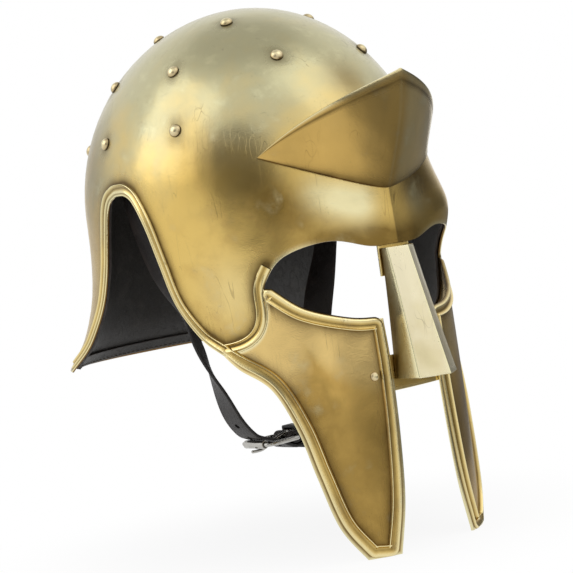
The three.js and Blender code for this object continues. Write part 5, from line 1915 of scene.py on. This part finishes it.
    def slot_tool(self, x: float, size: Triple) -> Workpiece:
        """A cutter for a long slot with rounded ends, upright at the buckle."""
        middle = (x, self.back, -self.depth)
        tool = Workpiece.block("slot_cutter", middle, size)
        tool.pick_edges(2, 0.5 * size[2])
        bpy.ops.mesh.bevel(offset=min(size[:2]) * 0.49, segments=5)
        return tool.place(Matrix.Translation(middle))

    def right_half(self) -> None:
        """Makes the strap with the punched holes."""
        count = self.spans[0]
        strap, (points, _, normals, _) = self.band("punched_strap", self.right_route(), Side.RIGHT, count)
        strap.cut(self.slot_tool(self.half_buckle * 0.15, self.prong_slot))
        for share in self.spare_holes:
            k = round(share * count)
            strap.cut(self.round_tool(points[k, 0], points[k, 2], normals[k], self.hole_radius))
        strap.smooth().finish(Body.CHIN_STRAP, Slot.STRAP_LEATHER, self.looks.strap, "chin_strap_right")

    def left_half(self) -> None:
        """Makes the strap that carries the buckle, and sews its fold."""
        strap, frames = self.band("buckle_strap", self.left_route(), Side.LEFT, self.spans[1])
        reach = self.turn_radius + self.thickness
        slot = (2.3 * reach, self.fold_slot_width, 3 * reach)
        strap.cut(self.slot_tool(self.half_buckle + reach * 0.15, slot))
        strap.smooth().finish(Body.CHIN_STRAP, Slot.STRAP_LEATHER, self.looks.strap, "chin_strap_left")
        points, across, normals, _ = frames
        place, share = np.arange(len(points)), points[:, 0] / self.half_buckle
        before_fold = place < np.argmin(np.where(place > len(points) * 2 // 3, share, np.inf))
        sewn = np.any([(share > low) & (share < high) for low, high in self.fold_seams], axis=0)
        rows = np.flatnonzero(before_fold & sewn & (points[:, 2] < -self.depth + 0.012))
        half = self.fold_seam_half * self.width
        steps = np.linspace(-half, half, self.fold_seam_points)[:, None]
        lines = []
        for k in (rows[0], rows[-1]):
            out = normals[k] * math.copysign(1, normals[k, 2])
            line = points[k] + across[k] * steps + out * self.thickness / 2
            lines.append((line, np.tile(out, (len(line), 1))))
        sewing = Stitching(self.looks, pitch=0.0034, length=0.0026)
        sewing.sewn("fold_stitches", Body.CHIN_STRAP, Slot.STRAP_LEATHER, lines)

    def keeper(self) -> None:
        """Makes the keeper, a flat leather loop round the laid straps."""
        low, high = (np.array(corner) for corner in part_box("strap_keeper"))
        middle, size = (low + high) / 2, high - low
        loop = Workpiece.block("keeper_loop", middle, size)
        loop.pick("FACE", lambda face: abs(face.normal.x) > 0.9)
        bpy.ops.mesh.delete(type="ONLY_FACE")
        loop.pick_edges(0, 0.5 * size[0])
        bpy.ops.mesh.bevel(offset=self.keeper_bend, segments=5)
        loop.pick_edges(0, 0.5 * size[0])
        bpy.ops.mesh.subdivide(number_cuts=7)
        loop.place(Matrix.Translation(tuple(middle))).face_from(middle)
        loop.thicken(self.keeper_thickness).round_edges(SOFT_EDGE).smooth()
        ends = size[0] / 2
        loop.mark("rim", lambda p: smooth_step((np.abs(p[:, 0] - middle[0]) - ends + 0.0006) / 0.0004))
        loop.mark("wear", lambda p: smooth_step((np.abs(p[:, 0] - middle[0]) - ends + 0.0016) / 0.001) * 0.7)
        loop.finish(Body.CHIN_STRAP, Slot.STRAP_LEATHER, self.looks.strap, "strap_keeper")

    def fastenings(self) -> None:
        """Makes the rivets that carry the straps, and the leather spacers on them."""
        inside = self.top_x - self.thickness / 2 - LAYERS.gap
        outside = self.wall_x(self.back, self.top_height, LAYERS.hem_inset - LAYERS.lining / 2)
        rivet = Studs.drawn(
            "strap_rivet_pattern", self.rivet_radius, self.rivet_head, self.shank_radius, outside - inside)
        ring = self.spacer()
        start = self.top_x + self.thickness / 2 + LAYERS.gap
        for side in Side:
            word, out = side.word, side.value
            seat = aim((out * inside, self.back, self.top_height), (-out, 0, 0))
            rivet.twin(f"anchor_rivet_{word}", seat).finish(
                Body.HELMET, Slot.STEEL, self.looks.steel, f"strap_rivet_{word}")
            seat = aim((out * start, self.back, self.top_height), (out, 0, 0))
            ring.twin(f"leather_spacer_{word}", seat).finish(
                Body.HELMET, Slot.STRAP_LEATHER, self.looks.strap, f"strap_spacer_{word}")
        rivet.discard()
        ring.discard()

    def spacer(self) -> Workpiece:
        """A leather washer standing on the origin."""
        bore, middle = self.shank_radius + self.play, (0, 0, self.spacer_height / 2)
        ring = Workpiece.added(
            "spacer_pattern", "cylinder", vertices=ROUND_SIDES, radius=self.spacer_radius,
            depth=self.spacer_height, end_fill_type="NOTHING", location=middle)
        ring.place(Matrix.Translation(middle)).face_from(middle)
        ring.thicken(self.spacer_radius - bore).round_edges().smooth()
        ring.mark("wear", lambda p: smooth_step((np.hypot(p[:, 0], p[:, 1]) - bore - 0.0014) / 0.0008) * 0.4)
        return ring.mark("rim", lambda p: 0)

    def build(self) -> None:
        """Makes the whole strap."""
        self.right_half()
        self.left_half()
        self.keeper()
        self.fastenings()


@dataclass
class Buckle:
    """Roller buckle: its wire frame, its roller and its prong."""

    looks: Finishes
    strap: ChinStrap
    inner_width: float = 0.025
    corner: float = 0.0035
    roller_wall: float = 0.0009
    roller_length: float = 0.020
    prong_radius: float = 0.00125
    side_steps: int = 6

    @property
    def middle(self) -> Vector:
        """The buckle's middle."""
        return Vector((0, self.strap.back, -self.strap.depth))

    def frame(self) -> None:
        """Makes the frame: wire drawn straight along each side and spun round each corner."""
        half, wide = self.strap.half_buckle, self.inner_width / 2 + self.strap.wire
        corner, middle = self.corner, self.middle
        start = middle + Vector((half, corner - wide, 0))
        wire = Workpiece.added(
            "buckle_wire", "circle", vertices=24, radius=self.strap.wire, location=start,
            rotation=(math.pi / 2, 0, 0))
        bpy.ops.object.transform_apply(location=True, rotation=True, scale=True)
        wire.edit()
        turns = ((1, 1), (-1, 1), (-1, -1), (1, -1))
        lengths = (2 * (wide - corner), 2 * (half - corner))
        ways = (Vector((0, 1, 0)), Vector((-1, 0, 0)), Vector((0, -1, 0)), Vector((1, 0, 0)))
        for k, (sx, sy) in enumerate(turns):
            run = ways[k] * lengths[k % 2] / self.side_steps
            for _ in range(self.side_steps):
                bpy.ops.mesh.extrude_region_move(TRANSFORM_OT_translate={"value": run})
            centre = middle + Vector((sx * (half - corner), sy * (wide - corner), 0))
            bpy.ops.mesh.spin(steps=8, angle=-math.pi / 2, center=centre, axis=(0, 0, 1))
        wire.close_up().smooth(60)
        wire.finish(Body.BUCKLE, Slot.STEEL, self.looks.steel, "buckle_frame")

    def roller(self) -> None:
        """Makes the roller, a thin tube with rolled ends."""
        radius = self.strap.wire + self.strap.play + self.roller_wall
        spot = self.middle + Vector((-self.strap.half_buckle, 0, 0))
        tube = Workpiece.added(
            "roller_tube", "cylinder", vertices=ROUND_SIDES, radius=radius, depth=self.roller_length,
            end_fill_type="NOTHING")
        tube.face_from((0, 0, 0)).thicken(self.roller_wall).round_edges(FINE_EDGE)
        tube.place(aim(spot, (0, 1, 0))).smooth()
        tube.finish(Body.ROLLER, Slot.STEEL, self.looks.steel, "buckle_roller")

    def prong(self) -> None:
        """Makes the prong: an eye bent round the bar and a shaft that tapers over the roller."""
        half, radius = self.strap.half_buckle, self.prong_radius
        eye = self.strap.wire + self.strap.play + radius
        rest = self.strap.wire + self.strap.play + self.roller_wall + LAYERS.gap + radius
        turns = [a * DEGREE for a in (-150, -110, -70, -30, 10, 50, 95)]
        near = (
            *((half + eye * math.cos(a), eye * math.sin(a)) for a in turns),
            (half * 0.5, eye * 0.45), (-half * 0.15, -rest * 0.42), (-half * 0.65, -rest * 0.98),
            (-half, -rest * 1.04), (-half * 1.32, -rest * 0.98))
        route = Route(tuple(self.strap.near_buckle(*p) for p in near), self.strap.back)
        points, across, normals, share = route.frames(150, lambda s: 0 * s)
        turn = np.linspace(0, 2 * math.pi, 21)[:-1]
        left = np.minimum(share, 1 - share) * 0.06
        full = radius * np.sqrt(np.clip(1 - (1 - np.clip(left / radius, 0.05, 1)) ** 2, 0, 1))
        full = full * lerp(1, 0.86, smooth_step((share - 0.5) / 0.5))
        section = full[:, None, None] * np.stack([np.cos(turn), np.sin(turn)], axis=1)[None]
        table = swept(points, across, normals, section)
        prong = Workpiece.laid("buckle_pin", table, {}).close_up().smooth(60)
        prong.finish(Body.PRONG, Slot.STEEL, self.looks.steel, "buckle_prong")

    def build(self) -> None:
        """Makes the whole buckle."""
        self.frame()
        self.roller()
        self.prong()


# Room, light and camera


@dataclass
class Studio:
    """Plain pale floor, white surroundings, soft lamps and the camera."""

    floor_height: float = -0.2264
    floor_size: float = 12.0
    floor_tint: Triple = (0.80, 0.80, 0.80)
    floor_fade: Pair = (0.17, 0.33)
    shadow_share: float = 0.8
    card: Pair = (55.0, 0.3)
    card_edge: Pair = (0.05, 0.4)
    room_light: float = 0.6
    lamps: tuple[tuple[str, float, float, float, float], ...] = (
        ("main_lamp", -116, 36, 1.6, 8), ("brow_lamp", 20, 56, 1.4, 3.2))
    lamp_distance: float = 2.0
    screens: tuple[tuple[float, float, float, float, float], ...] = (
        (-66, 15, 0.87, 0.97, 0.72), (84, -10, 0.74, 0.97, 0.88), (178, -8, 0.85, 0.98, 0.4),
        (150, 75, 0.80, 0.97, 0.35))
    distance: float = 1.2
    azimuth: float = -40.0
    roll: float = -8.0
    focal_pixels: float = 1800.0
    sensor_width: float = 36.0
    clip: Pair = (0.05, 60.0)
    frame_pixels: float = 573.0
    target: Triple = (0.0, 0.002, -0.0046)
    target_pixel: Pair = (257.5, 205.0)

    @property
    def back(self) -> Vector:
        """Direction from the helmet to the camera."""
        a = self.azimuth * DEGREE
        return Vector((math.sin(a), -math.cos(a), 0))

    def floor(self) -> None:
        """Makes the floor, which shows the helmet's shadow and fades into the white surroundings."""
        floor = Workpiece.added("floor", "plane", size=self.floor_size)
        floor.place(Matrix.Translation((0, 0, self.floor_height)))
        s = Shader("floor_paper")
        paper = s.finished({"Roughness": 0.9, "Specular IOR Level": 0.1})
        camera, glossy = s.ray("Camera"), s.ray("Glossy")
        aside = s.toward(self.way(self.card[0], 0)).ramp(*self.card_edge)
        carded = s.mix(self.floor_tint, (self.card[1],) * 3, aside * glossy)
        s.feed(s.surface.inputs["Base Color"], s.mix(carded, WHITE, camera))
        white = s.node("Emission", {}, {"Color": WHITE, "Strength": 1.0})
        away = s.node("VectorMath", {"operation": "LENGTH"}, {0: s.place}, "Value")
        fade = s.blend(self.shadow_share, 1.0, away.ramp(*self.floor_fade)) * (camera + (1 - aside) * glossy)
        shown = s.node("MixShader", {}, {0: fade, 1: Socket(s, s.surface.outputs[0]), 2: white})
        s.tree.links.new(shown.link, s.tree.nodes["Material Output"].inputs["Surface"])
        floor.object.data.materials.append(paper)

    def room(self) -> None:
        """Lights the room evenly, and shows it white to the camera, and in reflections with dim screens."""
        world = bpy.data.worlds.new("white_room")
        bpy.context.scene.world = world
        world.use_nodes = True
        s = Nodes(world.node_tree, "Generated")
        mirrored_room: Number = 1.0
        for azimuth, elevation, low, high, share in self.screens:
            aside = s.toward(self.way(azimuth, elevation))
            mirrored_room = mirrored_room * (1 - aside.ramp(low, high) * share)
        camera = s.ray("Camera")
        seen = (camera + s.ray("Glossy") + s.ray("Transmission")).clamped()
        strength = s.blend(s.blend(self.room_light, mirrored_room, seen), 1.0, camera)
        s.feed(s.tree.nodes["Background"].inputs["Color"], WHITE)
        s.feed(s.tree.nodes["Background"].inputs["Strength"], strength)

    @staticmethod
    def way(azimuth: float, elevation: float) -> Vector:
        """Direction at degrees from the front towards the wearer's left, and above the level."""
        a, e = azimuth * DEGREE, elevation * DEGREE
        return Vector((math.sin(a) * math.cos(e), -math.cos(a) * math.cos(e), math.sin(e)))

    def lamp(self, name: str, azimuth: float, elevation: float, size: float, power: float) -> None:
        """Hangs a square soft lamp, aimed at the helmet.

        Args:
            name: the lamp's name.
            azimuth: its direction from the front, in degrees towards the wearer's left.
            elevation: its direction above the level, in degrees.
            size: its side.
            power: its power in watts.
        """
        way = self.way(azimuth, elevation)
        Workpiece.clear()
        bpy.ops.object.light_add(type="AREA", location=way * self.lamp_distance)
        light = bpy.context.active_object
        light.name = name
        light.data.shape = "SQUARE"
        light.data.size = size
        light.data.energy = power
        light.rotation_euler = way.to_track_quat("Z", "Y").to_euler()

    def camera(self) -> None:
        """Sets up the camera at the photograph's view."""
        back = self.back
        right = Vector((-back.y, back.x, 0))
        r = self.roll * DEGREE
        across = right * math.cos(r) + Vector((0, 0, 1)) * math.sin(r)
        up = Vector((0, 0, 1)) * math.cos(r) - right * math.sin(r)
        middle = self.frame_pixels / 2
        aside = (middle - self.target_pixel[0]) / self.focal_pixels
        lower = (middle - self.target_pixel[1]) / self.focal_pixels
        ahead = (across * aside - up * lower - back).normalized()
        across = (across - ahead * across.dot(ahead)).normalized()
        up = across.cross(ahead)
        Workpiece.clear()
        bpy.ops.object.camera_add(location=Vector(self.target) + back * self.distance)
        camera = bpy.context.active_object
        camera.name = "photograph_view"
        camera.data.sensor_width = self.sensor_width
        camera.data.sensor_fit = "HORIZONTAL"
        camera.data.lens = self.focal_pixels * self.sensor_width / self.frame_pixels
        camera.data.clip_start, camera.data.clip_end = self.clip
        camera.rotation_euler = Matrix((across, up, -ahead)).transposed().to_euler()
        bpy.context.scene.camera = camera

    def build(self) -> None:
        """Sets the whole room up."""
        self.floor()
        self.room()
        for lamp in self.lamps:
            self.lamp(*lamp)
        self.camera()
        bpy.context.scene.view_settings.view_transform = "Standard"


def main() -> None:
    """Builds the helmet piece by piece and sets up its photograph."""
    logging.basicConfig(level=logging.INFO, format="%(name)s: %(message)s")
    looks = Finishes()
    Bowl(looks).build()
    Studs(looks).build()
    Frontlet(looks).build()
    NoseGuard(looks).build()
    for side in Side:
        CheekGuard(looks, side).build()
    Liner(looks).build()
    strap = ChinStrap(looks)
    strap.build()
    Buckle(looks, strap).build()
    Studio().build()


if __name__ == "__main__":
    main()
